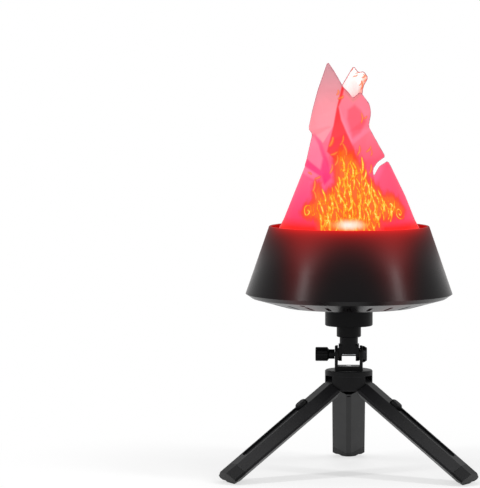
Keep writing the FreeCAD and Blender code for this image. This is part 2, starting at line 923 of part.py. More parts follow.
def board_screws():
    """Screws from below that hold the ring board to the deck's posts."""
    body = new_body("board_screws", LANTERN_HEIGHT)
    half_pitch = as_size(180) / S.lamp_count
    x = S.board_post_ring * cosine(half_pitch)
    y = S.board_post_ring * sine(half_pitch)
    floor = BOARD_TOP - S.board_thickness
    shank = disc(
        body,
        S.board_screw_radius - S.shaft_clearance,
        floor,
        S.board_thickness + S.board_post_length * 3 / 4,
        "Shank",
        x=x,
        y=y,
    )
    head = disc(
        body,
        S.board_head_radius,
        floor - S.board_head_height,
        S.board_head_height,
        "Head",
        x=x,
        y=y,
    )
    polar(body, [shank, head], S.board_post_count, "Ring")
    return body


def led_lamps():
    """Lamps with round lenses, standing on the ring board under the deck's windows."""
    body = new_body("led_lamps", LANTERN_HEIGHT)
    base = disc(
        body, S.lamp_radius, BOARD_TOP, S.lamp_base_height, "Base", x=S.lamp_ring
    )
    lens = disc(
        body,
        S.lamp_radius * 4 / 5,
        BOARD_TOP + S.lamp_base_height,
        S.lamp_base_height * 3 / 2,
        "Lens",
        x=S.lamp_ring,
    )
    polar(body, [base, lens], S.lamp_count, "Lamps")
    return body


def fan_corners():
    """Places of the fan's four corner screws."""
    half = S.fan_hole_spacing / 2
    return [(half, half), (-half, half), (-half, -half), (half, -half)]


def fan_frame():
    """Square axial fan frame: two flanges on a tube, and struts that carry the motor."""
    body = new_body("fan_frame", LANTERN_HEIGHT)
    half = S.fan_side / 2
    tube = S.fan_bore_radius + S.fan_tube_wall
    disc(body, tube, FAN_FLOOR, S.fan_height, "Tube", bore=S.fan_bore_radius)
    for label, floor in (("Low", FAN_FLOOR), ("High", FAN_TOP - S.fan_flange)):
        sketch = new_sketch(body, "XY_Plane", label + "Sketch", floor)
        draw_outline(sketch, [(-half, -half), (half, -half), (half, half), (-half, half)])
        draw_circle(sketch, S.fan_bore_radius)
        for x, y in fan_corners():
            draw_circle(sketch, S.fan_hole_radius, x, y)
        pad(body, sketch, S.fan_flange, label + "Flange")
    dress(
        body,
        "Fillet",
        lambda edge, middle: is_close(abs(middle.x), half.value)
        and is_close(abs(middle.y), half.value),
        S.fan_corner_round,
        "CornerRound",
    )
    disc(body, S.fan_motor_radius, FAN_FLOOR, S.fan_strut_height, "Plate")
    strut = S.fan_strut_width / 2
    reach = S.fan_bore_radius + S.fan_tube_wall / 2
    block(body, (-reach, -strut), (reach, strut), FAN_FLOOR, S.fan_strut_height, "StrutX")
    block(body, (-strut, -reach), (strut, reach), FAN_FLOOR, S.fan_strut_height, "StrutY")
    disc(
        body,
        S.fan_bearing_radius,
        FAN_FLOOR + S.fan_strut_height,
        S.fan_bearing_length,
        "Bearing",
    )
    hole(
        body,
        S.fan_shaft_radius + S.shaft_clearance,
        FAN_FLOOR + S.fan_strut_height + S.fan_bearing_length,
        S.fan_bearing_length,
        "BearingBore",
    )
    return body


def fan_motor():
    """Stator ring on the fan's bearing tube."""
    body = new_body("fan_motor", LANTERN_HEIGHT)
    disc(
        body,
        S.fan_motor_radius,
        FAN_FLOOR + S.fan_strut_height,
        S.fan_motor_height,
        "Stator",
        bore=S.fan_bearing_radius + S.shaft_clearance,
    )
    return body


def blade_section(chord, angle, height):
    """Four corners of a blade's section: a thin plate pitched about the rotor's mid height."""
    along_x = chord / 2 * cosine(angle)
    along_z = chord / 2 * sine(angle)
    thick_x = S.fan_blade_thickness / 2 * sine(angle)
    thick_z = S.fan_blade_thickness / 2 * cosine(angle)
    return [
        (-along_x - thick_x, height - along_z + thick_z),
        (-along_x + thick_x, height - along_z - thick_z),
        (along_x + thick_x, height + along_z - thick_z),
        (along_x - thick_x, height + along_z + thick_z),
    ]


def fan_rotor():
    """Cup with seven twisted blades lofted from root to tip, and its shaft."""
    floor = FAN_FLOOR + S.fan_rotor_lift
    top = floor + S.fan_rotor_height
    inner = S.fan_hub_radius - S.fan_hub_wall
    shaft_low = FAN_FLOOR + S.fan_strut_height + S.shaft_clearance * 4
    body = turned(
        "fan_rotor",
        [
            (ZERO, shaft_low),
            (S.fan_shaft_radius, shaft_low),
            (S.fan_shaft_radius, top - S.fan_hub_wall),
            (inner, top - S.fan_hub_wall),
            (inner, floor),
            (S.fan_hub_radius, floor),
            (S.fan_hub_radius, top),
            (ZERO, top),
        ],
        LANTERN_HEIGHT,
    )
    middle = floor + S.fan_rotor_height / 2
    root_place = S.fan_hub_radius - S.fan_hub_wall / 2
    tip_radius = S.fan_bore_radius - S.fan_tip_clearance
    tip_half = S.fan_tip_chord / 2 * cosine(S.fan_tip_angle)
    tip_half = tip_half + S.fan_blade_thickness / 2 * sine(S.fan_tip_angle)
    tip_place = root(tip_radius * tip_radius - tip_half * tip_half)
    root_sketch = new_sketch(body, "YZ_Plane", "RootSketch", root_place)
    draw_outline(root_sketch, blade_section(S.fan_root_chord, S.fan_root_angle, middle))
    tip_sketch = new_sketch(body, "YZ_Plane", "TipSketch", tip_place)
    draw_outline(tip_sketch, blade_section(S.fan_tip_chord, S.fan_tip_angle, middle))
    document.recompute()
    blade = feature(body, "AdditiveLoft", root_sketch, "Blade")
    blade.Sections = [tip_sketch]
    blade.Ruled = True
    polar(body, [blade], S.fan_blade_count, "Blades")
    return body


def fan_spacers():
    """Four tubes that hang the fan below the deck."""
    body = new_body("fan_spacers", LANTERN_HEIGHT)
    half = S.fan_hole_spacing / 2
    tube = disc(
        body,
        S.fan_spacer_radius,
        FAN_TOP,
        S.fan_gap,
        "Tube",
        bore=S.fan_hole_radius,
        x=half,
        y=half,
    )
    polar(body, [tube], as_size(len(fan_corners())), "Tubes")
    return body


def fan_screws():
    """Four long screws through guard, deck, spacers and the fan's upper flange."""
    body = new_body("fan_screws", LANTERN_HEIGHT)
    half = S.fan_hole_spacing / 2
    low = FAN_TOP - S.fan_flange - S.overrun
    shank = disc(body, S.fan_screw_radius, low, GUARD_TOP - low, "Shank", x=half, y=half)
    head = disc(body, S.fan_head_radius, GUARD_TOP, S.fan_head_height, "Head", x=half, y=half)
    polar(body, [shank, head], as_size(len(fan_corners())), "Ring")
    return body


def fan_guard():
    """Flat guard over the fan: an outer plate, rings and crossing bars."""
    body = new_body("fan_guard", LANTERN_HEIGHT)
    plate = new_sketch(body, "XY_Plane", "PlateSketch", DECK_TOP)
    draw_circle(plate, S.guard_radius)
    draw_circle(plate, S.fan_bore_radius)
    for x, y in fan_corners():
        draw_circle(plate, S.fan_hole_radius, x, y)
    pad(body, plate, S.guard_thickness, "Plate")
    reach = S.fan_bore_radius + S.guard_ring_width
    half = S.guard_bar_width / 2
    bar = block(body, (-reach, -half), (reach, half), DECK_TOP, S.guard_thickness, "Bar")
    polar(body, [bar], S.guard_bar_count * 2, "Bars")
    disc(body, S.guard_centre_radius, DECK_TOP, S.guard_thickness, "Centre")
    for index in (1, 2):
        ring = S.guard_centre_radius + S.guard_ring_pitch * index
        disc(
            body,
            ring + S.guard_ring_width / 2,
            DECK_TOP,
            S.guard_thickness,
            "Ring%d" % index,
            bore=ring - S.guard_ring_width / 2,
        )
    return body


def silk_hoop():
    """Wire hoop that holds the hem of the silk on the deck."""
    hoop = document.addObject("Part::Torus", "silk_hoop")
    hoop.Label = "silk_hoop"
    hoop.setExpression("Radius1", HOOP_RADIUS.formula)
    hoop.setExpression("Radius2", S.hoop_wire.formula)
    height = LANTERN_HEIGHT + DECK_TOP + S.hoop_wire + S.shaft_clearance
    hoop.setExpression("Placement.Base.z", height.formula)
    return hoop


def hoop_clips():
    """Clips with a channel that hold the hoop down on the deck."""
    body = new_body("hoop_clips", LANTERN_HEIGHT)
    half = S.clip_width / 2
    outer = HOOP_RADIUS + S.hoop_wire + S.silk_gap / 2
    clip = block(
        body, (outer - S.clip_depth, -half), (outer, half), DECK_TOP, S.clip_height, "Clip"
    )
    room = S.hoop_wire + S.silk_gap / 2
    channel = new_sketch(body, "XZ_Plane", "ChannelSketch")
    draw_outline(
        channel,
        [
            (HOOP_RADIUS - room, DECK_TOP - S.overrun),
            (outer + S.overrun, DECK_TOP - S.overrun),
            (outer + S.overrun, DECK_TOP + room * 2),
            (HOOP_RADIUS - room, DECK_TOP + room * 2),
        ],
    )
    cut = pocket(body, channel, S.clip_width * 2, "Channel", symmetric=True)
    polar(body, [clip, cut], S.clip_count, "Clips")
    return body


def silk_section(height_share, width_share, depth_share, fold_share, side):
    """One closed strip of the silk: scalloped arcs on half an ellipse, out and back."""
    half_width = SILK_RADIUS.value * width_share
    half_depth = SILK_RADIUS.value * depth_share
    height = DECK_TOP.value + S.silk_lift.value + S.silk_height.value * height_share
    depth = S.silk_fold_depth.value * fold_share
    edge = S.silk_gap.value / 2

    def place(turn, inset):
        angle = math.pi * turn
        x = -(half_width - inset) * math.cos(angle)
        y = edge + max(half_depth - inset, 0.0) * math.sin(angle)
        return FreeCAD.Vector(x, side * y, height)

    def run(inset):
        arcs = []
        for fold in range(SILK_FOLD_COUNT):
            start = place(fold / SILK_FOLD_COUNT, inset)
            end = place((fold + 1) / SILK_FOLD_COUNT, inset)
            middle_turn = (fold + 0.5) / SILK_FOLD_COUNT
            bulge = depth * math.sin(math.pi * middle_turn)
            sign = 1 if fold % 2 == 0 else -1
            middle = place(middle_turn, inset - sign * bulge)
            arcs.append((start, middle, end))
        return arcs

    outer = run(0.0)
    inner = run(S.silk_thickness.value)
    edges = [Part.Arc(a, b, c).toShape() for a, b, c in outer]
    edges.append(Part.LineSegment(outer[-1][2], inner[-1][2]).toShape())
    edges += [Part.Arc(c, b, a).toShape() for a, b, c in reversed(inner)]
    edges.append(Part.LineSegment(inner[0][0], outer[0][0]).toShape())
    return Part.Wire(edges)


def silk_panel(name, outline_shares, side):
    """A panel of silk with its main folds, cut to a flame's outline."""
    sections = [silk_section(*shares, side) for shares in SILK_SECTION_SHARES]
    cone = Part.makeLoft(sections, True, True)
    floor = DECK_TOP.value + S.silk_lift.value
    points = [
        FreeCAD.Vector(
            across * SILK_RADIUS.value,
            -S.wide_radius.value,
            floor + up * S.silk_height.value,
        )
        for across, up in outline_shares
    ]
    flame = Part.Face(Part.makePolygon(points + points[:1]))
    flame = flame.extrude(FreeCAD.Vector(0, S.wide_radius.value * 2, 0))
    piece = document.addObject("Part::Feature", name)
    piece.Label = name
    piece.Shape = cone.common(flame)
    lift = LANTERN_HEIGHT.value
    piece.Placement = FreeCAD.Placement(FreeCAD.Vector(0, 0, lift), FreeCAD.Rotation())
    return piece


def driver_board():
    """Circuit board that drives the lamps and the fan."""
    body = new_body("driver_board", LANTERN_HEIGHT)
    half = S.driver_width / 2
    low = S.driver_distance - S.driver_depth / 2
    high = S.driver_distance + S.driver_depth / 2
    floor = S.cover_wall + S.driver_post_height
    block(body, (-half, low), (half, high), floor, S.board_thickness, "Board")
    return body


def driver_parts():
    """Transformer block, two capacitors and a terminal strip on the driver board."""
    body = new_body("driver_parts", LANTERN_HEIGHT)
    floor = S.cover_wall + S.driver_post_height + S.board_thickness
    unit = S.driver_depth / 6
    middle = S.driver_distance
    block(
        body,
        (-unit * 3, middle - unit * 2),
        (-unit, middle + unit),
        floor,
        S.driver_part_height,
        "Coil",
    )
    disc(body, unit, floor, S.driver_part_height * 5 / 4, "CapLow", x=unit, y=middle - unit)
    disc(body, unit, floor, S.driver_part_height, "CapHigh", x=unit, y=middle + unit * 3 / 2)
    block(
        body,
        (unit * 5 / 2, middle - unit * 2),
        (unit * 7 / 2, middle + unit * 2),
        floor,
        S.driver_part_height * 3 / 4,
        "Strip",
    )
    return body


def dc_jack():
    """Round power inlet through the back wall: flange outside, barrel and nut inside."""
    body = turned(
        "dc_jack",
        [
            (ZERO, -S.jack_length),
            (S.jack_radius, -S.jack_length),
            (S.jack_radius, ZERO),
            (S.jack_flange_radius, ZERO),
            (S.jack_flange_radius, S.jack_flange_thickness),
            (S.jack_bore_radius, S.jack_flange_thickness),
            (S.jack_bore_radius, S.jack_flange_thickness - S.jack_bore_depth),
            (S.jack_pin_radius, S.jack_flange_thickness - S.jack_bore_depth),
            (S.jack_pin_radius, -S.jack_pin_radius),
            (ZERO, -S.jack_pin_radius),
        ],
    )
    place = jack_frame()
    place.Base.z += LANTERN_HEIGHT.value
    body.Placement = place
    return body


def jack_nut():
    """Ring nut that holds the inlet against the inside of the wall."""
    body = new_body("jack_nut")
    low = -S.bowl_wall - S.jack_nut_gap - S.jack_nut_thickness
    disc(
        body,
        S.jack_nut_radius,
        low,
        S.jack_nut_thickness,
        "Ring",
        bore=S.jack_radius + S.shaft_clearance,
    )
    place = jack_frame()
    place.Base.z += LANTERN_HEIGHT.value
    body.Placement = place
    return body


# Platform and tilting head. Heights here are above the tilt axis.

PLATFORM_TOP = S.platform_rise + S.platform_height
PLATE_UNDER = PLATFORM_TOP - S.plate_thickness
COLLAR_BOTTOM = S.platform_rise - S.collar_height
POCKET_FLOOR = S.platform_rise + S.platform_floor
SPIGOT_TOP = POCKET_FLOOR + S.spigot_gap


def platform_body():
    """Round platform with a collar below, recessed for its plate and the turning screw."""
    bore = S.spigot_radius + S.spigot_clearance
    body = turned(
        "platform_body",
        [
            (bore, COLLAR_BOTTOM),
            (S.collar_radius, COLLAR_BOTTOM),
            (S.collar_radius, S.platform_rise),
            (S.platform_radius, S.platform_rise),
            (S.platform_radius, PLATFORM_TOP),
            (S.plate_radius + S.plate_clearance, PLATFORM_TOP),
            (S.plate_radius + S.plate_clearance, PLATE_UNDER),
            (S.pan_pocket_radius, PLATE_UNDER),
            (S.pan_pocket_radius, POCKET_FLOOR),
            (bore, POCKET_FLOOR),
        ],
        PIVOT_HEIGHT,
    )
    dress(
        body,
        "Chamfer",
        lambda edge, middle: is_ring(edge, middle, S.platform_radius, S.platform_rise)
        or is_ring(edge, middle, S.platform_radius, PLATFORM_TOP)
        or is_ring(edge, middle, S.collar_radius, COLLAR_BOTTOM),
        S.collar_edge,
        "Edges",
    )
    screw = hole(
        body,
        S.plate_screw_radius,
        PLATE_UNDER,
        S.plate_screw_length - S.plate_thickness / 2,
        "ScrewHole",
        x=S.plate_screw_ring,
    )
    polar(body, [screw], S.plate_screw_count, "ScrewHoles")
    return body


def platform_plate():
    """Metal plate that closes the platform and carries the stud."""
    body = new_body("platform_plate", PIVOT_HEIGHT)
    bore = S.stud_radius + S.stud_clearance
    disc(body, S.plate_radius, PLATE_UNDER, S.plate_thickness, "Plate", bore=bore)
    recess = hole(
        body,
        S.plate_head_radius + S.stud_clearance,
        PLATFORM_TOP,
        S.plate_head_height,
        "Recess",
        x=S.plate_screw_ring,
    )
    shaft = hole(
        body,
        S.plate_screw_radius + S.stud_clearance,
        PLATFORM_TOP,
        S.plate_thickness,
        "ScrewHole",
        x=S.plate_screw_ring,
    )
    polar(body, [recess, shaft], S.plate_screw_count, "ScrewHoles")
    return body


def plate_screws():
    """Three flat screws that hold the plate in the platform."""
    head_low = PLATFORM_TOP - S.plate_head_height
    return screw_ring(
        "plate_screws",
        PIVOT_HEIGHT,
        S.plate_screw_count,
        (
            S.plate_screw_radius - S.shaft_clearance,
            PLATFORM_TOP - S.plate_screw_length,
            S.plate_screw_length - S.plate_head_height,
        ),
        (S.plate_head_radius, head_low, S.plate_head_height, S.plate_screw_ring),
    )


def platform_pad():
    """Rubber pad between the platform and the lantern."""
    body = new_body("platform_pad", PIVOT_HEIGHT)
    disc(
        body,
        S.platform_radius - S.platform_edge,
        PLATFORM_TOP,
        S.pad_thickness,
        "Pad",
        bore=S.stud_radius + S.stud_clearance * 2,
    )
    return body


def mount_stud():
    """Threaded stud with a flange under the plate."""
    return turned(
        "mount_stud",
        [
            (ZERO, PLATE_UNDER - S.stud_flange_height),
            (S.stud_flange_radius, PLATE_UNDER - S.stud_flange_height),
            (S.stud_flange_radius, PLATE_UNDER),
            (S.stud_radius, PLATE_UNDER),
            (S.stud_radius, PLATFORM_TOP + S.pad_thickness + S.stud_rise),
            (ZERO, PLATFORM_TOP + S.pad_thickness + S.stud_rise),
        ],
        PIVOT_HEIGHT,
    )


def pan_screw():
    """Broad-headed screw that keeps the platform on the yoke's spigot."""
    return turned(
        "pan_screw",
        [
            (ZERO, SPIGOT_TOP - S.pan_screw_length),
            (S.pan_screw_radius, SPIGOT_TOP - S.pan_screw_length),
            (S.pan_screw_radius, SPIGOT_TOP),
            (S.pan_head_radius, SPIGOT_TOP),
            (S.pan_head_radius, SPIGOT_TOP + S.pan_head_height),
            (ZERO, SPIGOT_TOP + S.pan_head_height),
        ],
        PIVOT_HEIGHT,
    )


def tilt_yoke():
    """Inverted fork on the tilt axis, with a round neck and the platform's spigot above."""
    body = new_body("tilt_yoke", PIVOT_HEIGHT)
    half = S.yoke_half_width
    inner = half - S.yoke_ear
    ears = new_sketch(body, "YZ_Plane", "EarSketch")
    draw_circle(ears, S.yoke_ear_radius)
    pad(body, ears, half * 2, "Barrel", symmetric=True)
    block_height = S.neck_bottom
    side = S.yoke_ear_radius
    block(body, (-half, -side), (half, side), ZERO, block_height, "Block")
    disc(
        body,
        S.neck_radius,
        S.block_bottom,
        COLLAR_BOTTOM - S.spigot_gap - S.block_bottom,
        "Neck",
    )
    disc(
        body,
        S.spigot_radius,
        COLLAR_BOTTOM - S.spigot_gap,
        SPIGOT_TOP - COLLAR_BOTTOM + S.spigot_gap,
        "Spigot",
    )
    window = new_sketch(body, "XZ_Plane", "WindowSketch")
    draw_outline(
        window,
        [
            (-inner, -side - S.overrun),
            (inner, -side - S.overrun),
            (inner, S.block_bottom),
            (-inner, S.block_bottom),
        ],
    )
    pocket(body, window, side * 4, "Window", symmetric=True)
    pivot = new_sketch(body, "YZ_Plane", "PivotSketch")
    draw_circle(pivot, S.bolt_radius + S.bolt_clearance)
    pocket(body, pivot, half * 4, "PivotBore", symmetric=True)
    hole(
        body,
        S.pan_screw_radius + S.shaft_clearance,
        SPIGOT_TOP,
        S.pan_screw_length + S.spigot_gap,
        "ScrewBore",
    )
    dress(
        body,
        "Fillet",
        lambda edge, middle: is_close(middle.z, block_height.value)
        and is_close(abs(middle.y), side.value),
        S.fork_round,
        "BlockRound",
    )
    return body


def friction_washers():
    """Two fibre washers between the yoke's ears and the fork's."""
    body = new_body("friction_washers", PIVOT_HEIGHT)
    sketch = new_sketch(body, "YZ_Plane", "RightSketch", S.yoke_half_width)
    draw_circle(sketch, S.washer_radius)
    draw_circle(sketch, S.bolt_radius + S.bolt_clearance)
    washer = pad(body, sketch, S.washer_thickness, "Right")
    polar(body, [washer], as_size(2), "Pair")
    return body


FORK_INNER = S.yoke_half_width + S.washer_thickness + S.washer_gap
FORK_OUTER = FORK_INNER + S.fork_ear


def lower_fork():
    """Upright fork on the hub that carries the tilt axis."""
    body = new_body("lower_fork", PIVOT_HEIGHT)
    ears = new_sketch(body, "YZ_Plane", "EarSketch")
    draw_circle(ears, S.fork_ear_radius)
    pad(body, ears, FORK_OUTER * 2, "Barrel", symmetric=True)
    side = S.fork_ear_radius
    block(
        body,
        (-FORK_OUTER, -side),
        (FORK_OUTER, side),
        -S.pivot_rise,
        S.pivot_rise,
        "Block",
    )
    window = new_sketch(body, "XZ_Plane", "WindowSketch")
    draw_outline(
        window,
        [
            (-FORK_INNER, S.fork_base - S.pivot_rise),
            (FORK_INNER, S.fork_base - S.pivot_rise),
            (FORK_INNER, side + S.overrun),
            (-FORK_INNER, side + S.overrun),
        ],
    )
    pocket(body, window, side * 4, "Window", symmetric=True)
    pivot = new_sketch(body, "YZ_Plane", "PivotSketch")
    draw_circle(pivot, S.bolt_radius + S.bolt_clearance)
    pocket(body, pivot, FORK_OUTER * 4, "PivotBore", symmetric=True)
    hole(
        body,
        S.hub_screw_radius + S.shaft_clearance,
        S.fork_base - S.pivot_rise,
        S.fork_base,
        "ScrewHole",
    )
    dress(
        body,
        "Fillet",
        lambda edge, middle: is_close(abs(middle.x), FORK_OUTER.value)
        and is_close(abs(middle.y), side.value),
        S.fork_round,
        "EdgeRound",
    )
    return body


def along_x(body):
    """Turns a body's own Z axis to the row's -X at the height of the tilt axis."""
    rotation = FreeCAD.Rotation(FreeCAD.Vector(0, 1, 0), -90)
    base = FreeCAD.Vector(0, 0, PIVOT_HEIGHT.value)
    body.Placement = FreeCAD.Placement(base, rotation)
    return body


KNOB_START = FORK_OUTER + S.knob_gap
KNOB_END = KNOB_START + S.knob_neck_length + S.knob_length


def thumb_knob():
    """Fluted thumb knob with a tapered neck."""
    head = KNOB_START + S.knob_neck_length
    bore = S.bolt_radius + S.shaft_clearance
    body = turned(
        "thumb_knob",
        [
            (bore, KNOB_START),
            (S.knob_neck_radius, KNOB_START),
            (S.knob_neck_radius, head - S.knob_taper),
            (S.knob_radius, head),
            (S.knob_radius, KNOB_END),
            (ZERO, KNOB_END),
            (ZERO, KNOB_END - S.knob_end),
            (bore, KNOB_END - S.knob_end),
        ],
    )
    dress(
        body,
        "Fillet",
        lambda edge, middle: is_ring(edge, middle, S.knob_radius, KNOB_END),
        S.knob_round,
        "EndRound",
    )
    flute = hole(
        body,
        S.knob_flute_radius,
        KNOB_END + S.overrun,
        S.knob_length + S.overrun,
        "Flute",
        x=S.knob_radius + S.knob_flute_radius / 2,
    )
    polar(body, [flute], S.knob_flute_count, "Flutes")
    return along_x(body)


def clamp_bolt():
    """Bolt from the knob through both forks to the nut."""
    body = new_body("clamp_bolt")
    far_end = FORK_OUTER + S.nut_thickness
    disc(body, S.bolt_radius, -far_end, far_end + KNOB_END - S.knob_end, "Shank")
    return along_x(body)


def clamp_nut():
    """Hexagonal nut on the fork's right ear."""
    body = new_body("clamp_nut")
    sketch = new_sketch(body, "XY_Plane", "HexSketch", -FORK_OUTER - S.nut_thickness)
    flat = S.nut_flats / 2
    corner = S.nut_flats / root(as_size(3))
    draw_outline(
        sketch,
        [
            (corner, ZERO),
            (corner / 2, flat),
            (-corner / 2, flat),
            (-corner, ZERO),
            (-corner / 2, -flat),
            (corner / 2, -flat),
        ],
    )
    draw_circle(sketch, S.bolt_radius + S.shaft_clearance)
    pad(body, sketch, S.nut_thickness, "Hex")
    low = -FORK_OUTER - S.nut_thickness
    far = corner + S.overrun
    rise = (far - S.nut_face_radius) / cosine(S.nut_chamfer_angle) * sine(S.nut_chamfer_angle)
    chamfer = new_sketch(body, "XZ_Plane", "ChamferSketch")
    draw_outline(chamfer, [(S.nut_face_radius, low), (far, low), (far, low + rise)])
    groove(body, chamfer, "Chamfer")
    return along_x(body)


# Hub. Heights here are above the leg hinge pins.

HUB_SLOT = S.knuckle_half_width + S.slot_gap


def toward_leg(index):
    """Direction of a leg seen from above, in degrees: leg 1 points away from the viewer."""
    return 90 + (index - 1) * 360 / count_of(S.leg_count)


def hub_body():
    """Round hub with a slot for each leg's knuckle and a shoulder that stops the leg."""
    body = new_body("hub_body", PIN_HEIGHT)
    height = S.hub_rise + S.hub_drop
    disc(body, S.hub_radius, -S.hub_drop, height, "Drum")
    dress(
        body,
        "Chamfer",
        lambda edge, middle: is_ring(edge, middle, S.hub_radius, -S.hub_drop),
        S.hub_edge,
        "Edge",
    )
    far = S.hub_radius + S.overrun
    cuts = []
    slot = new_sketch(body, "XY_Plane", "SlotSketch", S.hub_rise)
    draw_outline(
        slot,
        [(S.core_radius, -HUB_SLOT), (far, -HUB_SLOT), (far, HUB_SLOT), (S.core_radius, HUB_SLOT)],
    )
    cuts.append(pocket(body, slot, height + S.overrun, "Slot"))
    shoulder = new_sketch(body, "XZ_Plane", "ShoulderSketch")
    draw_outline(shoulder, shoulder_outline())
    cuts.append(
        pocket(body, shoulder, (S.section_half_width + S.slot_gap) * 2, "Shoulder", symmetric=True)
    )
    groove = new_sketch(body, "XZ_Plane", "GrooveSketch")
    half = S.pin_radius + S.pin_clearance
    draw_outline(
        groove,
        [
            (S.pin_offset - half, ZERO),
            (S.pin_offset + half, ZERO),
            (S.pin_offset + half, S.hub_rise + S.overrun),
            (S.pin_offset - half, S.hub_rise + S.overrun),
        ],
    )
    draw_seat = new_sketch(body, "XZ_Plane", "SeatSketch")
    draw_circle(draw_seat, half, S.pin_offset, ZERO)
    pin_room = (S.pin_half_length + S.pin_clearance) * 2
    cuts.append(pocket(body, groove, pin_room, "Groove", symmetric=True))
    cuts.append(pocket(body, draw_seat, pin_room, "Seat", symmetric=True))
    polar(body, cuts, S.leg_count, "Legs")
    hole(
        body,
        S.hub_screw_radius + S.hub_screw_clearance,
        S.hub_rise,
        height,
        "ScrewHole",
    )
    recess = new_sketch(body, "XY_Plane", "RecessSketch", -S.hub_drop)
    draw_circle(recess, S.hub_head_radius + S.hub_screw_clearance)
    pocket(body, recess, S.hub_head_recess, "Recess", backwards=True)
    body.Placement = FreeCAD.Placement(
        FreeCAD.Vector(0, 0, PIN_HEIGHT.value),
        FreeCAD.Rotation(FreeCAD.Vector(0, 0, 1), toward_leg(1)),
    )
    return body


def shoulder_outline():
    """Region outside the circle that a leg's upper end sweeps about its pin.

    The flat part is parallel to the end of the spread leg, and a chord below it stays
    inside the swept circle.
    """
    reach = S.leg_start - S.stop_gap
    slope = S.leg_slope_angle
    touch_x = S.pin_offset + reach * cosine(slope)
    touch_z = -reach * sine(slope)
    far = S.hub_radius + S.overrun
    rise = (far - touch_x) / sine(slope) * cosine(slope)
    floor = -S.hub_drop - S.overrun
    lower_x = S.pin_offset + root(reach * reach - S.hub_drop * S.hub_drop) - S.stop_gap
    return [
        (lower_x - S.overrun, floor),
        (lower_x, -S.hub_drop),
        (touch_x, touch_z),
        (far, touch_z + rise),
        (far, floor),
    ]


def hub_cap():
    """Lid of the hub, with blocks that hold the hinge pins down in their grooves."""
    body = new_body("hub_cap", PIN_HEIGHT)
    disc(body, S.hub_radius, S.hub_rise, S.cap_thickness, "Lid")
    dress(
        body,
        "Chamfer",
        lambda edge, middle: is_ring(edge, middle, S.hub_radius, S.hub_rise + S.cap_thickness),
        S.hub_edge,
        "Edge",
    )
    depth = S.hub_rise - S.pin_radius - S.pin_clearance
    half = S.pin_radius
    saddles = []
    for label, side in (("Left", -1), ("Right", 1)):
        near = (HUB_SLOT + S.pin_clearance) * side
        away = S.pin_half_length * side
        low, high = (near, away) if side > 0 else (away, near)
        saddles.append(
            block(
                body,
                (S.pin_offset - half, low),
                (S.pin_offset + half, high),
                S.hub_rise - depth,
                depth,
                label + "Saddle",
            )
        )
    polar(body, saddles, S.leg_count, "Saddles")
    hole(
        body,
        S.hub_screw_radius + S.hub_screw_clearance,
        S.hub_rise + S.cap_thickness,
        S.cap_thickness,
        "ScrewHole",
    )
    body.Placement = FreeCAD.Placement(
        FreeCAD.Vector(0, 0, PIN_HEIGHT.value),
        FreeCAD.Rotation(FreeCAD.Vector(0, 0, 1), toward_leg(1)),
    )
    return body


def hub_screw():
    """Central screw that holds hub, lid and fork together."""
    floor = -S.hub_drop + S.hub_head_recess
    return turned(
        "hub_screw",
        [
            (ZERO, floor - S.hub_head_height),
            (S.hub_head_radius, floor - S.hub_head_height),
            (S.hub_head_radius, floor),
            (S.hub_screw_radius, floor),
            (S.hub_screw_radius, S.hub_rise + S.cap_thickness + S.fork_base),
            (ZERO, S.hub_rise + S.cap_thickness + S.fork_base),
        ],
        PIN_HEIGHT,
    )


def hinge_pins():
    """Three steel pins, one through each leg's knuckle."""
    body = new_body("hinge_pins", PIN_HEIGHT)
    sketch = new_sketch(body, "XZ_Plane", "PinSketch")
    draw_circle(sketch, S.pin_radius, S.pin_offset, ZERO)
    pin = pad(body, sketch, S.pin_half_length * 2, "Pin", symmetric=True)
    polar(body, [pin], S.leg_count, "Pins")
    body.Placement = FreeCAD.Placement(
        FreeCAD.Vector(0, 0, PIN_HEIGHT.value),
        FreeCAD.Rotation(FreeCAD.Vector(0, 0, 1), toward_leg(1)),
    )
    return body


# Legs. X runs down the leg from its hinge pin, Y along the pin, Z out of the leg's outer face.


def place_leg(piece, index):
    """Puts a piece drawn in a leg's own frame at its place on the hub."""
    turn = FreeCAD.Rotation(FreeCAD.Vector(0, 0, 1), toward_leg(index))
    tilt = FreeCAD.Rotation(FreeCAD.Vector(0, 1, 0), S.leg_slope_angle.value)
    base = turn.multVec(FreeCAD.Vector(S.pin_offset.value, 0, PIN_HEIGHT.value))
    piece.Placement = FreeCAD.Placement(base, turn.multiply(tilt))
    return piece


def leg_section(inset):
    """Outline across a leg: a third of the folded handle, faceted, moved in by an inset."""
    lean = root(as_size(3))
    spread = (S.section_top - S.section_side) / (S.section_half_width - S.section_flat_half)
    bevel = inset * root(spread * spread + 1)
    face = inset * 2 / lean
    apex = S.section_apex + inset
    apex_half = (apex - S.section_face - face) * lean
    half = S.section_half_width - inset
    corner = half / lean + S.section_face + face
    side = S.section_side + inset * spread - bevel
    top = S.section_top - inset
    flat_half = S.section_half_width - (top - S.section_side + bevel) / spread
    down = S.pin_offset
    right = [(apex_half, apex), (half, corner), (half, side), (flat_half, top)]
    left = [(-y, z) for y, z in reversed(right)]
    return [(y, z - down) for y, z in right + left]


def floor_line(height, place):
    """Height across the leg, at a place along it, of a level plane above the floor."""
    drop = height - PIN_HEIGHT + place * sine(S.leg_slope_angle)
    return drop / cosine(S.leg_slope_angle)


def prism(body, inset, start, length, label):
    """Adds a stretch of the leg's section."""
    sketch = new_sketch(body, "YZ_Plane", label + "Sketch", start)
    draw_outline(sketch, leg_section(inset))
    return pad(body, sketch, length, label)


SHELL_END = S.leg_length - S.cap_length - S.cap_gap
SLOT_END = SHELL_END - S.slot_end_margin
CAVITY_INSET = S.leg_wall
RAIL_INSET = S.leg_wall + S.slide_clearance
RAIL_TOP = S.section_top - RAIL_INSET - S.pin_offset
OUTER_FACE = S.section_top - S.pin_offset


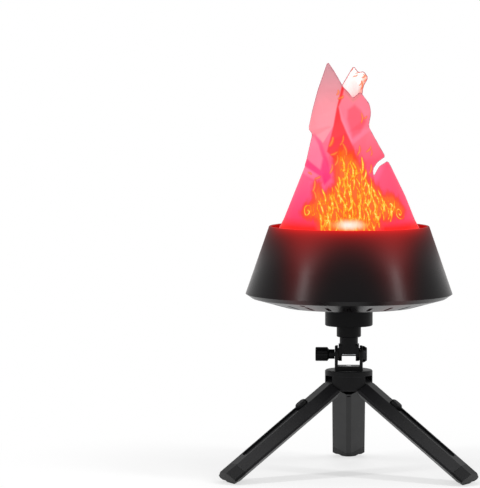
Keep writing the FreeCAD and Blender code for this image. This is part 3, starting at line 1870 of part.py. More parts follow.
def leg_shell(index):
    """Hollow upper leg with a knuckle, a long slot in its outer face and a hollow for the slide."""
    body = new_body("leg_shell_%d" % index)
    prism(body, ZERO, S.leg_start, SHELL_END - S.leg_start, "Outside")
    cavity_start = S.leg_start + S.leg_head
    cavity = new_sketch(body, "YZ_Plane", "CavitySketch", cavity_start)
    draw_outline(cavity, leg_section(CAVITY_INSET))
    pocket(body, cavity, SHELL_END - cavity_start + S.overrun, "Cavity", backwards=True)
    half = S.knuckle_half_width
    knuckle = new_sketch(body, "XZ_Plane", "KnuckleSketch")
    draw_circle(knuckle, S.knuckle_radius)
    pad(body, knuckle, half * 2, "Knuckle", symmetric=True)
    arm = new_sketch(body, "XZ_Plane", "ArmSketch")
    arm_end = S.leg_start + S.leg_head / 2
    draw_outline(
        arm,
        [
            (ZERO, -S.knuckle_radius),
            (arm_end, -S.knuckle_radius),
            (arm_end, S.knuckle_radius),
            (ZERO, S.knuckle_radius),
        ],
    )
    pad(body, arm, half * 2, "Arm", symmetric=True)
    pin = new_sketch(body, "XZ_Plane", "PinSketch")
    draw_circle(pin, S.pin_radius + S.pin_clearance)
    pocket(body, pin, half * 4, "PinBore", symmetric=True)
    slot = new_sketch(body, "XY_Plane", "SlotSketch", OUTER_FACE + S.overrun)
    radius = S.slot_half_width
    draw_slot(slot, S.slot_start + radius, SLOT_END - radius, radius)
    pocket(body, slot, S.leg_wall + S.overrun * 3 / 2, "Slot")
    under = S.section_apex - S.pin_offset
    recess = new_sketch(body, "XY_Plane", "RecessSketch", under)
    start = S.recess_start
    draw_outline(
        recess,
        [
            (start, -S.recess_half_width),
            (start + S.recess_length, -S.recess_half_width),
            (start + S.recess_length, S.recess_half_width),
            (start, S.recess_half_width),
        ],
    )
    pocket(body, recess, S.recess_depth, "Recess", backwards=True)
    return place_leg(body, index)


def leg_extension(index):
    """Sliding lower leg inside the shell, with a well for the button."""
    body = new_body("leg_extension_%d" % index)
    end = S.leg_length - S.cap_length
    prism(body, RAIL_INSET, S.extension_start, end - S.extension_start, "Rail")
    well = new_sketch(body, "XY_Plane", "WellSketch", RAIL_TOP + S.overrun)
    half_width = S.button_half_width + S.button_clearance
    half_length = S.button_half_length + S.button_clearance
    place = S.button_place
    draw_outline(
        well,
        [
            (place - half_length, -half_width),
            (place + half_length, -half_width),
            (place + half_length, half_width),
            (place - half_length, half_width),
        ],
    )
    pocket(body, well, S.well_depth + S.overrun, "Well")
    return place_leg(body, index)


def leg_end_cap(index):
    """End of the leg at the shell's full section, cut level above the floor."""
    body = new_body("leg_end_cap_%d" % index)
    start = S.leg_length - S.cap_length
    prism(body, ZERO, start, S.cap_length, "End")
    cut = new_sketch(body, "XZ_Plane", "LevelSketch")
    far = S.leg_length + S.overrun
    near = start - S.overrun
    deep = S.section_half_width + S.pin_offset
    draw_outline(
        cut,
        [
            (near, -deep),
            (far, -deep),
            (far, floor_line(S.foot_thickness, far)),
            (near, floor_line(S.foot_thickness, near)),
        ],
    )
    pocket(body, cut, S.section_half_width * 4, "Level", symmetric=True)
    return place_leg(body, index)


def leg_foot(index):
    """Rubber sole under the end of the leg, flat on the floor."""
    body = new_body("leg_foot_%d" % index)
    start = S.leg_length - S.cap_length
    prism(body, S.foot_inset, start, S.cap_length - S.foot_inset, "Sole")
    far = S.leg_length + S.overrun
    near = start - S.overrun
    deep = S.section_half_width + S.pin_offset
    high = S.section_top + S.overrun
    for label, level, edge in (("Under", ZERO, -deep), ("Over", S.foot_thickness, high)):
        cut = new_sketch(body, "XZ_Plane", label + "Sketch")
        draw_outline(
            cut,
            [
                (near, edge),
                (far, edge),
                (far, floor_line(level, far)),
                (near, floor_line(level, near)),
            ],
        )
        pocket(body, cut, S.section_half_width * 4, label, symmetric=True)
    return place_leg(body, index)


def leg_button(index):
    """Domed release button that rides in the slot."""
    body = new_body("leg_button_%d" % index)
    low = OUTER_FACE - S.leg_wall - S.button_depth
    top = OUTER_FACE + S.button_proud
    radius = S.button_half_width
    reach = S.button_half_length - radius
    shape = new_sketch(body, "XY_Plane", "ShapeSketch", low)
    draw_slot(shape, S.button_place - reach, S.button_place + reach, radius)
    pad(body, shape, top - low, "Shape")
    dress(
        body,
        "Fillet",
        lambda edge, middle: is_close(middle.z, top.value),
        S.button_round,
        "TopRound",
    )
    return place_leg(body, index)


def button_spring(index):
    """Bent leaf spring in the well under the button."""
    body = new_body("button_spring_%d" % index)
    floor = RAIL_TOP - S.well_depth + S.button_clearance
    crest = OUTER_FACE - S.leg_wall - S.button_depth - S.button_clearance
    thickness = S.spring_thickness
    half = S.button_half_length - S.button_clearance
    foot = half * 2 / 3
    top = half / 3
    place = S.button_place
    leaf = new_sketch(body, "XZ_Plane", "LeafSketch")
    draw_outline(
        leaf,
        [
            (place - half, floor),
            (place - foot, floor),
            (place - top, crest - thickness),
            (place + top, crest - thickness),
            (place + foot, floor),
            (place + half, floor),
            (place + half, floor + thickness),
            (place + foot + thickness / 2, floor + thickness),
            (place + top + thickness / 2, crest),
            (place - top - thickness / 2, crest),
            (place - foot - thickness / 2, floor + thickness),
            (place - half, floor + thickness),
        ],
    )
    pad(body, leaf, S.spring_half_width * 2, "Leaf", symmetric=True)
    return place_leg(body, index)


def build():
    """Makes every piece and returns them in a list."""
    pieces = [
        bowl_shell(),
        base_cover(),
        base_screws(),
        thread_insert(),
        flame_deck(),
        deck_screws(),
        led_board(),
        board_screws(),
        led_lamps(),
        fan_frame(),
        fan_motor(),
        fan_rotor(),
        fan_spacers(),
        fan_screws(),
        fan_guard(),
        silk_hoop(),
        hoop_clips(),
        silk_panel("silk_front", FRONT_OUTLINE_SHARES, -1),
        silk_panel("silk_back", BACK_OUTLINE_SHARES, 1),
        driver_board(),
        driver_parts(),
        dc_jack(),
        jack_nut(),
        platform_body(),
        platform_plate(),
        plate_screws(),
        platform_pad(),
        mount_stud(),
        pan_screw(),
        tilt_yoke(),
        friction_washers(),
        lower_fork(),
        thumb_knob(),
        clamp_bolt(),
        clamp_nut(),
        hub_body(),
        hub_cap(),
        hub_screw(),
        hinge_pins(),
    ]
    for index in range(1, count_of(S.leg_count) + 1):
        pieces.append(leg_shell(index))
        pieces.append(leg_extension(index))
        pieces.append(leg_end_cap(index))
        pieces.append(leg_foot(index))
        pieces.append(leg_button(index))
        pieces.append(button_spring(index))
    return pieces


def check(pieces):
    """Stops with a message if any object failed or any piece has no sound solid."""
    document.recompute()
    faults = []
    for item in document.Objects:
        if "Invalid" in item.State or "Error" in item.State:
            faults.append("%s: %s" % (item.Name, item.State))
    for piece in pieces:
        if piece.Shape.isNull() or not piece.Shape.isValid() or not piece.Shape.Solids:
            faults.append("%s has no valid solid" % piece.Label)
    if faults:
        print("\n".join(faults))
        sys.exit(1)


PIECES = build()
check(PIECES)
os.makedirs("parts", exist_ok=True)
for piece in PIECES:
    piece.Shape.exportStep("parts/%s.step" % piece.Label)
print("%d pieces, %d solids" % (len(PIECES), sum(len(p.Shape.Solids) for p in PIECES)))
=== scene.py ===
"""A flame effect lantern on its folding table tripod.

Frame: metres, origin on the tripod's axis at floor level, +Z up, -Y towards the camera.
"""

import json
import math
from functools import partial

import bmesh
import bpy
import numpy as np
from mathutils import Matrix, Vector, geometry


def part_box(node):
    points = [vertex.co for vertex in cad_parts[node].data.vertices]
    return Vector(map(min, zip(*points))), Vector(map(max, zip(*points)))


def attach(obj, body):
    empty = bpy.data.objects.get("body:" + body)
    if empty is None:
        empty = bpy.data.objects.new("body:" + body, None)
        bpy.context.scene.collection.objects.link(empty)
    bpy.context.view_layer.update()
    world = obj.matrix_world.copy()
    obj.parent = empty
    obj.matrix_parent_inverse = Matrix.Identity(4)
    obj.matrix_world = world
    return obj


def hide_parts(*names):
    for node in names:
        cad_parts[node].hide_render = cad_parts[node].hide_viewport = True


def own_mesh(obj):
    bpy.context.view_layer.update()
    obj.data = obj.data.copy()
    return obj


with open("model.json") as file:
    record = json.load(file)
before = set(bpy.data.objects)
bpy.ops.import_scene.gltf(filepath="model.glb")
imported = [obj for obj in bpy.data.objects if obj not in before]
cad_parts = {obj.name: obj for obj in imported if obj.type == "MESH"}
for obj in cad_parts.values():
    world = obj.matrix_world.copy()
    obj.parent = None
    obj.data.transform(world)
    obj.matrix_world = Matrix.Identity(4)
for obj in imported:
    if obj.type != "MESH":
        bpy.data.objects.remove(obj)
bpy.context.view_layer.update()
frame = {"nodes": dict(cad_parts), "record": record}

bl_info = {
    "name": "Flame Lantern",
    "version": (1, 0, 0),
    "blender": (4, 5, 0),
    "location": "View3D > Sidebar > Lantern",
    "description": "Finishes a flame effect lantern on a folding table tripod",
    "category": "Add Mesh",
}

MM = 0.001
BODIES = frame["record"]["behaviour"]["bodies"]
JOINTS = {joint["name"]: joint for joint in frame["record"]["behaviour"]["joints"]}
LEGS = sorted(int(name[4:]) for name in BODIES if name[:4] == "leg_" and name[4:].isdigit())

# The lantern's own levels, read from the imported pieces, in metres
BOWL_LOW, BOWL_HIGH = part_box("bowl_shell")
SILK_LOW, SILK_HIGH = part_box("silk_front")
LAMP_LOW, LAMP_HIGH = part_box("led_lamps")
RIM_HEIGHT, WIDE_HEIGHT, WIDE_RADIUS = BOWL_HIGH.z, BOWL_LOW.z, BOWL_HIGH.x
RIM_RADIUS = WIDE_RADIUS - 23.8 * MM
DECK_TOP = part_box("flame_deck")[1].z


def linear(code):
    """An sRGB hex colour as linear RGBA."""
    parts = [int(code[i : i + 2], 16) / 255 for i in (1, 3, 5)]
    levels = [c / 12.92 if c <= 0.04045 else ((c + 0.055) / 1.055) ** 2.4 for c in parts]
    return (*levels, 1.0)


# Sizes and colours that a user would change


def size_of(name, description, default):
    """A size, in metres."""
    return bpy.props.FloatProperty(
        name=name, description=description, default=default, unit="LENGTH")


def colour_of(name, description, code):
    """A colour, from its hex code."""
    return bpy.props.FloatVectorProperty(
        name=name, description=description, default=linear(code), size=4, min=0, max=1,
        subtype="COLOR")


class LanternSizes(bpy.types.PropertyGroup):
    """Sizes of the parts that the frame leaves free."""

    silk_radius: size_of("Silk radius", "Radius of the silk at its hem",
                         float(SILK_HIGH.x) - 0.5 * MM)
    silk_height: size_of("Silk height", "Height of the flame above its hem",
                         float(SILK_HIGH.z - SILK_LOW.z))
    fold_depth: size_of("Fold depth", "Depth of the silk's soft upright folds", 2.0 * MM)
    crease_softness: size_of("Crease softness", "Reach over which a sharp crease runs round",
                             0.9 * MM)
    silk_thickness: size_of("Silk thickness", "Thickness of the cloth", 0.3 * MM)
    edge_radius: size_of("Edge radius", "Radius of the rolled and stitched edge", 0.4 * MM)
    lens_radius: size_of("Lens radius", "Radius of a lamp's round lens", 3.1 * MM)


class LanternColours(bpy.types.PropertyGroup):
    """Colours of the finishes."""

    bowl: colour_of("Bowl", "Colour of the moulded bowl", "#090809")
    tripod: colour_of("Tripod", "Colour of the tripod's coating", "#0a0a0b")
    # glow is the colour of the bowl's painted red glow, an emission standing in for the lamps'
    # light.
    glow: colour_of("Glow", "Colour of the lamps' light in the bowl", "#ff0b05")


def sizes():
    """The scene's own sizes."""
    return bpy.context.scene.lantern_sizes


def colours():
    """The scene's own colours."""
    return bpy.context.scene.lantern_colours


# Materials

# Spacings of the patterns, in metres. A diagonal wave's bands lie 1.15 of its pitch apart.
COPPER_PITCH = 1.5791 * MM
WEAVE_PITCH = 1.7765 * MM
TURN_PITCH = 2.3687 * MM

# The one setting of each kind of node that is given in most calls
MODES = {"Math": "operation", "VectorMath": "operation", "MapRange": "interpolation_type",
         "Mix": "data_type", "TexNoise": "noise_dimensions", "TexWave": "bands_direction"}


def add_node(tree, kind, inputs=(), mode=None, stops=(), **settings):
    """Adds a shader node with its settings, and fills its inputs with values or links.

    inputs is a dict by name or number, or a list in the sockets' order, which for MapRange is
    the value, the ends that it comes from and the ends that it goes to. A node given as a value
    links its first output in use, and a hex colour is turned to linear. mode is the setting that
    MODES names for the kind. stops are the places and hex colours of a colour ramp.
    """
    node = tree.nodes.new("ShaderNode" + kind)
    if mode:
        settings[MODES[kind]] = mode
    for name, value in settings.items():
        setattr(node, name, value)
    for index, (place, code) in enumerate(stops):
        marks = node.color_ramp.elements
        mark = marks[index] if index < len(marks) else marks.new(place)
        mark.position, mark.color = place, linear(code)
    for name, value in inputs.items() if isinstance(inputs, dict) else enumerate(inputs):
        if isinstance(value, str):
            value = linear(value)
        if isinstance(value, bpy.types.Node):
            value = next(output for output in value.outputs if output.enabled)
        if isinstance(value, bpy.types.NodeSocket):
            tree.links.new(value, node.inputs[name])
        else:
            node.inputs[name].default_value = value
    return node


def wave_scale(pitch):
    """The scale at which a wave texture draws upright bands a pitch apart, in metres.

    Its height is half of 1 + sin(20 scale x).
    """
    return 2 * math.pi / (20 * pitch)


def emptied(owner):
    """Empties a material's or a world's node tree, and returns add_node for that tree."""
    owner.use_nodes = True
    owner.node_tree.nodes.clear()
    return partial(add_node, owner.node_tree)


def blank(name):
    """The material of a name, emptied, and what adds nodes to it."""
    material = bpy.data.materials.get(name) or bpy.data.materials.new(name)
    return material, emptied(material)


def sees_background(add):
    """1 for the camera's rays, and for those of metal and glass, which show that background."""
    rays = add("LightPath").outputs
    seen = add("Math", [rays["Is Camera Ray"], rays["Is Glossy Ray"]], "ADD")
    return add("Math", [seen, rays["Is Transmission Ray"]], "ADD", use_clamp=True)


def plain_finish(name, stain, shades, rough, relief=None, edge=0.0, rubbed=None, shader=()):
    """A finish whose colour and roughness drift with a stain, over a finer relief.

    stain is the stain's size in millimetres, its detail and its distortion. It runs between the
    two shades, and between the two values of rough. relief is a finer noise's size, or None for
    the stain itself, with the relief's depth in millimetres and its strength. Edges look rounded
    by the radius edge, in millimetres. rubbed is the colour and the share of bare material on
    them, and shader holds the material's own values.
    """
    material, add = blank(name)
    place = add("TexCoord").outputs["Object"]
    size, detail, twist = stain
    drift = add("TexNoise", {"Vector": place, "Scale": 1 / (size * MM), "Detail": detail,
                             "Distortion": twist})
    colour = add("Mix", {0: drift, 6: shades[0], 7: shades[1]}, "RGBA")
    normal = add("Bevel", {"Radius": edge * MM}, samples=4) if edge else None
    if rubbed:
        # An edge is where a rounded normal and the face's own part, and there the coat is rubbed.
        face = add("NewGeometry").outputs["True Normal"]
        match = add("VectorMath", [normal, face], "DOT_PRODUCT")
        rub = add("MapRange", [match, 0.985, 0.85, 0.0, rubbed[1]])
        colour = add("Mix", {0: rub, 6: colour, 7: rubbed[0]}, "RGBA")
    if relief:
        size, depth, strength = relief
        height = drift if size is None else add(
            "TexNoise", {"Vector": place, "Scale": 1 / (size * MM), "Detail": 2.0})
        bump = {"Height": height, "Distance": depth * MM, "Strength": strength}
        normal = add("Bump", {**bump, "Normal": normal} if edge else bump)
    low, high = rough
    inputs = {
        **dict(shader), "Base Color": colour, "Roughness": low if low == high else
        add("MapRange", [drift, 0.0, 1.0, low, high]),
    }
    if normal:
        inputs["Normal"] = normal
    add("OutputMaterial", [add("BsdfPrincipled", inputs)])
    return material


def moulded_abs():
    """ABS moulded against a spark-eroded tool: a fine grain that spreads its highlights.

    A painted red glow, which the wall emits itself, stands in for the lamps' light under the rim.
    At a depth d under it the glow is 0.42 exp(-d / 3 mm) + 0.36 exp(-k d), and k runs from 1 / 27
    mm to 1 / 9 mm as cos(6 a) falls, with a the angle round the axis, so that it reaches lowest
    in line with the side softboxes' highlights, as a painted red reflection. It fades to a
    quarter towards the bowl's left and right sides, a painted shade. The grain is coarse under
    the rim and gets finer down the wall.
    """
    material, add = blank("Spark-grained moulded ABS")
    place = add("TexCoord").outputs["Object"]
    axis = add("SeparateXYZ", [place]).outputs
    depth = add("Math", [RIM_HEIGHT, axis["Z"]], "SUBTRACT")
    angle = add("Math", [axis["Y"], axis["X"]], "ARCTAN2")
    sixth = add("Math", [angle, 6.0], "MULTIPLY")
    lobe = add("Math", [sixth], "COSINE")
    # Painted shade: the glow falls to a quarter towards the bowl's left and right sides.
    side = add("Math", [axis["Y"]], "ABSOLUTE")
    facing = add("MapRange", [side, 15 * MM, 70 * MM, 0.25], "SMOOTHSTEP")
    # Painted red reflection: the glow reaches lower in two lobes, in line with the side
    # highlights.
    rate = add("MapRange", [lobe, -1.0, 1.0, -1 / (9 * MM), -1 / (27 * MM)])
    far = add("Math", [depth, rate], "MULTIPLY")
    far = add("Math", [far], "EXPONENT")
    far = add("Math", [far, 0.36], "MULTIPLY")
    near = add("Math", [depth, -1 / (3 * MM)], "MULTIPLY")
    near = add("Math", [near], "EXPONENT")
    glow = add("Math", [near, 0.42, far], "MULTIPLY_ADD")
    glow = add("Math", [glow, facing], "MULTIPLY")
    # Inside, above the deck, the wall has a painted red glow, an emission standing in for the
    # lamps' own light on it.
    flat = add("CombineXYZ", [axis["X"], axis["Y"], 0.0])
    radius = add("VectorMath", [flat], "LENGTH")
    slope = (WIDE_RADIUS - RIM_RADIUS) / (RIM_HEIGHT - WIDE_HEIGHT)
    wall = add("Math", [axis["Z"], -slope, WIDE_RADIUS + slope * WIDE_HEIGHT], "MULTIPLY_ADD")
    skin = add("Math", [wall, radius], "SUBTRACT")
    inner = add("MapRange", [skin, 1.0 * MM, 2.0 * MM])
    above = add("MapRange", [axis["Z"], DECK_TOP - 2 * MM, DECK_TOP + 5 * MM])
    lit = add("Math", [inner, above], "MULTIPLY")
    lit = add("Math", [lit, 0.42], "MULTIPLY")
    strength = add("Math", [glow, lit], "MAXIMUM")
    grain = add("TexNoise", {"Vector": place, "Scale": 1 / (0.45 * MM), "Detail": 2.0})
    flow = add("TexNoise", {"Vector": place, "Scale": 1 / (25 * MM), "Detail": 3.0})
    body = add("Mix", {0: flow, 6: colours().bowl, 7: "#0e0c0d"}, "RGBA")
    fine = add("MapRange", [depth, 2 * MM, 48 * MM, 0.56, 0.23], "SMOOTHSTEP")
    rough = add("Math", [grain, 0.06, fine], "MULTIPLY_ADD")
    normal = add("Bump", {"Height": grain, "Distance": 0.03 * MM, "Strength": 0.3})
    shader = add("BsdfPrincipled", {
        "Base Color": body, "Roughness": rough, "IOR": 1.5, "Specular IOR Level": 0.085,
        "Emission Color": colours().glow, "Emission Strength": strength, "Normal": normal,
    })
    add("OutputMaterial", [shader])
    return material


def deck_abs():
    """The same moulding compound on the deck, with the lamps' red light painted on it: a reddish
    base colour, and a red emission over its top face.
    """
    material, add = blank("Moulded ABS with painted lamp light")
    place = add("TexCoord").outputs["Object"]
    height = add("SeparateXYZ", [place]).outputs["Z"]
    # Painted light: the top face glows red in clouds, standing in for the lamps' light close by.
    above = add("MapRange", [height, DECK_TOP - 0.4 * MM, DECK_TOP - 0.1 * MM])
    cloud = add("TexNoise", {"Vector": place, "Scale": 1 / (30 * MM), "Detail": 2.0})
    level = add("MapRange", [cloud, 0.0, 1.0, 0.30, 0.80])
    grain = add("TexNoise", {"Vector": place, "Scale": 1 / (0.45 * MM), "Detail": 2.0})
    shader = add("BsdfPrincipled", {
        "Base Color": "#2a1414", "Roughness": 0.45, "IOR": 1.5, "Emission Color": "#ff140c",
        "Emission Strength": add("Math", [above, level], "MULTIPLY"),
        "Normal": add("Bump", {"Height": grain, "Distance": 0.04 * MM, "Strength": 0.5}),
    })
    add("OutputMaterial", [shader])
    return material


def powder_coat():
    """Powder coat on cast aluminium: matt black with a fine orange peel, paler where rubbed."""
    return plain_finish(
        "Powder-coated cast aluminium", stain=(18, 4.0, 0.0),
        shades=(colours().tripod, "#151516"), rough=(0.38, 0.52), relief=(1.1, 0.05, 0.6),
        edge=0.5, rubbed=("#3c3c3f", 0.55), shader={"IOR": 1.5, "Specular IOR Level": 0.11},
    )


def anodised_leg():
    """Black anodised aluminium, drawn: a satin face with fine lines and rubbed edges."""
    return plain_finish(
        "Black anodised drawn aluminium", stain=(26, 4.0, 0.0), shades=("#09090a", "#101012"),
        rough=(0.34, 0.46), relief=(0.8, 0.02, 0.5), edge=0.6, rubbed=("#404043", 0.5),
        shader={"IOR": 1.5, "Specular IOR Level": 0.15},
    )


def nylon():
    """Moulded black nylon with glass fibre: a waxy face with faint flow marks."""
    return plain_finish(
        "Moulded glass-filled nylon", stain=(6, 4.0, 1.2), shades=("#09090a", "#0f0f10"),
        rough=(0.36, 0.52), relief=(0.35, 0.03, 0.5), edge=0.35,
        shader={"IOR": 1.5, "Specular IOR Level": 0.10},
    )


def rubber():
    """Moulded nitrile rubber: dull, with a dusty bloom."""
    return plain_finish(
        "Moulded nitrile rubber", stain=(5, 5.0, 0.0), shades=("#101010", "#1d1d1d"),
        rough=(0.70, 0.86), relief=(0.5, 0.05, 0.6),
        shader={"IOR": 1.52, "Specular IOR Level": 0.3},
    )


def zinc_steel():
    """Turned steel with bright zinc plate: pale metal with faint lathe lines."""
    return plain_finish(
        "Zinc-plated turned steel", stain=(3, 4.0, 0.0), shades=("#9b9da1", "#c4c6c9"),
        rough=(0.24, 0.42), relief=(0.3, 0.02, 0.4), shader={"Metallic": 1.0},
    )


def black_steel():
    """Black oxide on milled steel: a dark oily metal."""
    return plain_finish(
        "Black oxide milled steel", stain=(4, 4.0, 0.0), shades=("#1c1c1e", "#303033"),
        rough=(0.36, 0.52), relief=(None, 0.02, 0.4), edge=0.4, shader={"Metallic": 0.85},
    )


def brass():
    """Machined brass: a warm metal with cloudy tarnish."""
    return plain_finish(
        "Machined brass", stain=(2, 4.0, 0.0), shades=("#b98f4a", "#d9b56b"), rough=(0.25, 0.40),
        shader={"Metallic": 1.0},
    )


def pressed_fibre():
    """Pressed fibre washer: dull brown-grey with short fibres."""
    return plain_finish(
        "Pressed fibre", stain=(0.7, 5.0, 2.0), shades=("#2b2723", "#4a423a"), rough=(0.8, 0.8),
        relief=(None, 0.05, 0.6),
    )


def circuit_board():
    """Glass-fibre board under green lacquer: glossy, with the copper's pattern under it."""
    material, add = blank("Green lacquered fibreglass board")
    place = add("TexCoord").outputs["Object"]
    tracks = add("TexBrick", {
        "Vector": place, "Scale": 1 / (9 * MM), "Mortar Size": 0.09, "Color1": "#0f4a2c",
        "Color2": "#125534", "Mortar": "#1f6d40",
    })
    weave = add("TexNoise", {"Vector": place, "Scale": 1 / (0.6 * MM), "Detail": 2.0})
    shader = add("BsdfPrincipled", {
        "Base Color": tracks, "Roughness": 0.28, "IOR": 1.52, "Coat Weight": 0.4,
        "Normal": add("Bump", {"Height": weave, "Distance": 0.02 * MM, "Strength": 0.5}),
    })
    add("OutputMaterial", [shader])
    return material


def copper_winding():
    """Enamelled copper wire wound on the motor: rows of warm wire, drawn 1.6 mm apart."""
    material, add = blank("Enamelled wound copper")
    place = add("TexCoord").outputs["Object"]
    rows = add("TexWave", {"Vector": place, "Scale": wave_scale(COPPER_PITCH), "Distortion": 0.3},
               "Z").outputs["Fac"]
    # Painted light: the wire is paler on each row's crest, a painted highlight, and darker in the
    # grooves between rows, a painted shade.
    colour = add("Mix", {0: rows, 6: "#6d2f16", 7: "#c0733c"}, "RGBA")
    shader = add("BsdfPrincipled", {
        "Base Color": colour, "Metallic": 0.8, "Roughness": 0.32,
        "Normal": add("Bump", {"Height": rows, "Distance": 0.1 * MM, "Strength": 0.7}),
    })
    add("OutputMaterial", [shader])
    return material


def lit_lens():
    """Cast epoxy lens of a lamp that is on: a bright pale core in a red body."""
    material, add = blank("Cast epoxy lens, lit")
    place = add("TexCoord").outputs["Object"]
    height = add("SeparateXYZ", [place]).outputs["Z"]
    rise = add("MapRange", [height, LAMP_LOW.z + 1.6 * MM, LAMP_HIGH.z])
    core = add("ValToRGB", [rise], stops=[(0.0, "#ff1a10"), (0.7, "#ff7060"), (1.0, "#ffe9df")])
    haze = add("TexNoise", {"Vector": place, "Scale": 1 / (1.5 * MM), "Detail": 2.0})
    shader = add("BsdfPrincipled", {
        "Base Color": "#ffb0a0", "Roughness": 0.12, "IOR": 1.5, "Emission Color": core,
        "Emission Strength": add("MapRange", [haze, 0.0, 1.0, 0.8, 1.1]),
    })
    add("OutputMaterial", [shader])
    return material


def line_at_half(add, value, start, full):
    """A line along which a value is a half: it starts where they differ by start."""
    gap = add("Math", [value, 0.5], "SUBTRACT")
    gap = add("Math", [gap], "ABSOLUTE")
    return add("MapRange", [gap, start, full], "SMOOTHSTEP")


def laid_over(add, colour, value, start, full, most, stops):
    """A colour with a layer of print over it, whose own colour follows a value through stops.

    The layer sets in where the value is start, and covers its most where it is full.
    """
    cover = add("MapRange", [value, start, full, 0.0, most], "SMOOTHSTEP")
    tone = add("ValToRGB", [value], stops=stops)
    return add("Mix", {0: cover, 6: colour, 7: tone}, "RGBA")


def printed_silk():
    """Woven polyester silk, dyed and then printed with flames: soft, matt and thin.

    It passes some light, and its emission is a painted glow that stands in for the lamps' light
    through it. The dye attribute holds the dye's colour at each point of the cloth, with a
    painted lamp glow towards the hem and painted light and shade on the folds. silk_print says
    how much there is of the print's haze (red), of its tongues of fire (green) and of its loose
    licks (blue).
    """
    material, add = blank("Printed woven silk")
    cloth = add("UVMap", uv_map="cloth").outputs["UV"]
    dye = add("Attribute", attribute_name="silk_dye_and_painted_light", attribute_type="GEOMETRY")
    marks = add("Attribute", attribute_name="silk_print", attribute_type="GEOMETRY")
    marks = add("SeparateColor", [marks.outputs["Color"]]).outputs
    # The haze: pinkish red at its ragged edge and orange in its body, in tall clouds
    tall = add("VectorMath", [cloth, (1.0, 0.42, 1.0)], "MULTIPLY")
    rag = add("TexNoise", {"Vector": tall, "Scale": 1 / (7 * MM), "Detail": 4.0, "Roughness": 0.6,
                           "Distortion": 0.6})
    deep = add("Math", [marks["Red"], 2.0, -1.16], "MULTIPLY_ADD")
    haze = add("Math", [rag, 1.15, deep], "MULTIPLY_ADD")
    colour = laid_over(add, dye.outputs["Color"], haze, 0.22, 0.66, 0.92, [
        (0.30, "#f04050"), (0.55, "#ec4438"), (0.80, "#e65222"), (1.0, "#ea6c18")])
    # The strands: thin wavy lines where two noises, drawn tall, pass their middle value. They
    # are 5 to 7 mm apart and well under a millimetre wide.
    sway = add("TexNoise", {"Vector": cloth, "Scale": 1 / (14 * MM), "Detail": 1.0})
    bent = add("VectorMath", [sway.outputs["Color"], (8 * MM,) * 3, cloth], "MULTIPLY_ADD")
    tall = add("VectorMath", [bent, (1.0, 0.27, 1.0)], "MULTIPLY")
    strands = None
    for spacing, seed in ((7 * MM, 3.0), (5 * MM, 11.0)):
        wave = add("TexNoise", {"Vector": tall, "W": seed, "Scale": 1 / spacing, "Detail": 0.6},
                   "4D")
        line = line_at_half(add, wave, 0.055, 0.0)
        strands = add("Math", [line, strands or 0.0], "MAXIMUM")
    within = add("MapRange", [marks["Red"], 0.60, 0.90, 0.0, 0.62])
    heat = add("Math", [strands, within], "MULTIPLY")
    tongues = add("MapRange", [marks["Green"], 0.10, 0.90])
    heat = add("Math", [heat, tongues], "MAXIMUM")
    # The curls at both sides: spirals whose lines are 5 mm apart, bent up to 4 mm
    for across, up, hand, reach in CURLS:
        away = add("VectorMath", [bent, (across * MM + 4 * MM, up * MM + 4 * MM, 4 * MM)],
                   "SUBTRACT")
        flat = add("VectorMath", [away, (1.0, 1.0, 0.0)], "MULTIPLY")
        parts = add("SeparateXYZ", [flat]).outputs
        angle = add("Math", [parts["Y"], parts["X"]], "ARCTAN2")
        turn = add("Math", [angle, hand / (2 * math.pi)], "MULTIPLY")
        far = add("VectorMath", [flat], "LENGTH")
        phase = add("Math", [far, 1 / (5 * MM), turn], "MULTIPLY_ADD")
        phase = add("Math", [phase], "FRACT")
        line = line_at_half(add, phase, 0.26, 0.04)
        within = add("MapRange", [far, reach * MM, (reach - 2.5) * MM])
        curl = add("Math", [line, within], "MULTIPLY")
        heat = add("Math", [heat, curl], "MAXIMUM")
    fade = add("TexNoise", {"Vector": cloth, "Scale": 1 / (5 * MM), "Detail": 2.0})
    fade = add("MapRange", [fade, 0.3, 0.6, 0.45, 1.05])
    heat = add("Math", [heat, fade], "MULTIPLY")
    colour = laid_over(add, colour, heat, 0.10, 0.42, 1.0, [
        (0.12, "#d2420f"), (0.35, "#e96e12"), (0.60, "#f6a01e"), (0.85, "#fcc640"),
        (1.0, "#ffe27a")])
    # The loose licks: brown-orange rims round pale orange hearts
    fine = add("TexNoise", {"Vector": cloth, "Scale": 1 / (2.5 * MM), "Detail": 3.0})
    lick = add("Math", [marks["Blue"], 0.25], "SUBTRACT")
    lick = add("Math", [fine, 0.5, lick], "MULTIPLY_ADD")
    colour = laid_over(add, colour, lick, 0.25, 0.70, 0.75, [
        (0.35, "#da4a3c"), (0.65, "#e4642c"), (1.0, "#f9a648")])
    # A painted pool of lamp light washes the print out over the middle of the hem, peach round a
    # white core.
    painted_light_spot = add("VectorMath", [cloth, (0.0, 15.5 * MM, 0.0)], "SUBTRACT")
    painted_light_spot = add("VectorMath", [painted_light_spot, (1 / (27 * MM), 1 / (9.5 * MM), 0.0)], "MULTIPLY")
    painted_light_spot = add("VectorMath", [painted_light_spot], "LENGTH")
    painted_light_spot = add("Math", [rag, 0.5, painted_light_spot], "MULTIPLY_ADD")
    colour = laid_over(add, colour, painted_light_spot, 1.15, 0.55, 0.9, [
        (0.35, "#ffeee6"), (0.60, "#ffd2b4"), (0.85, "#ffb068"), (1.0, "#ff8a3c")])
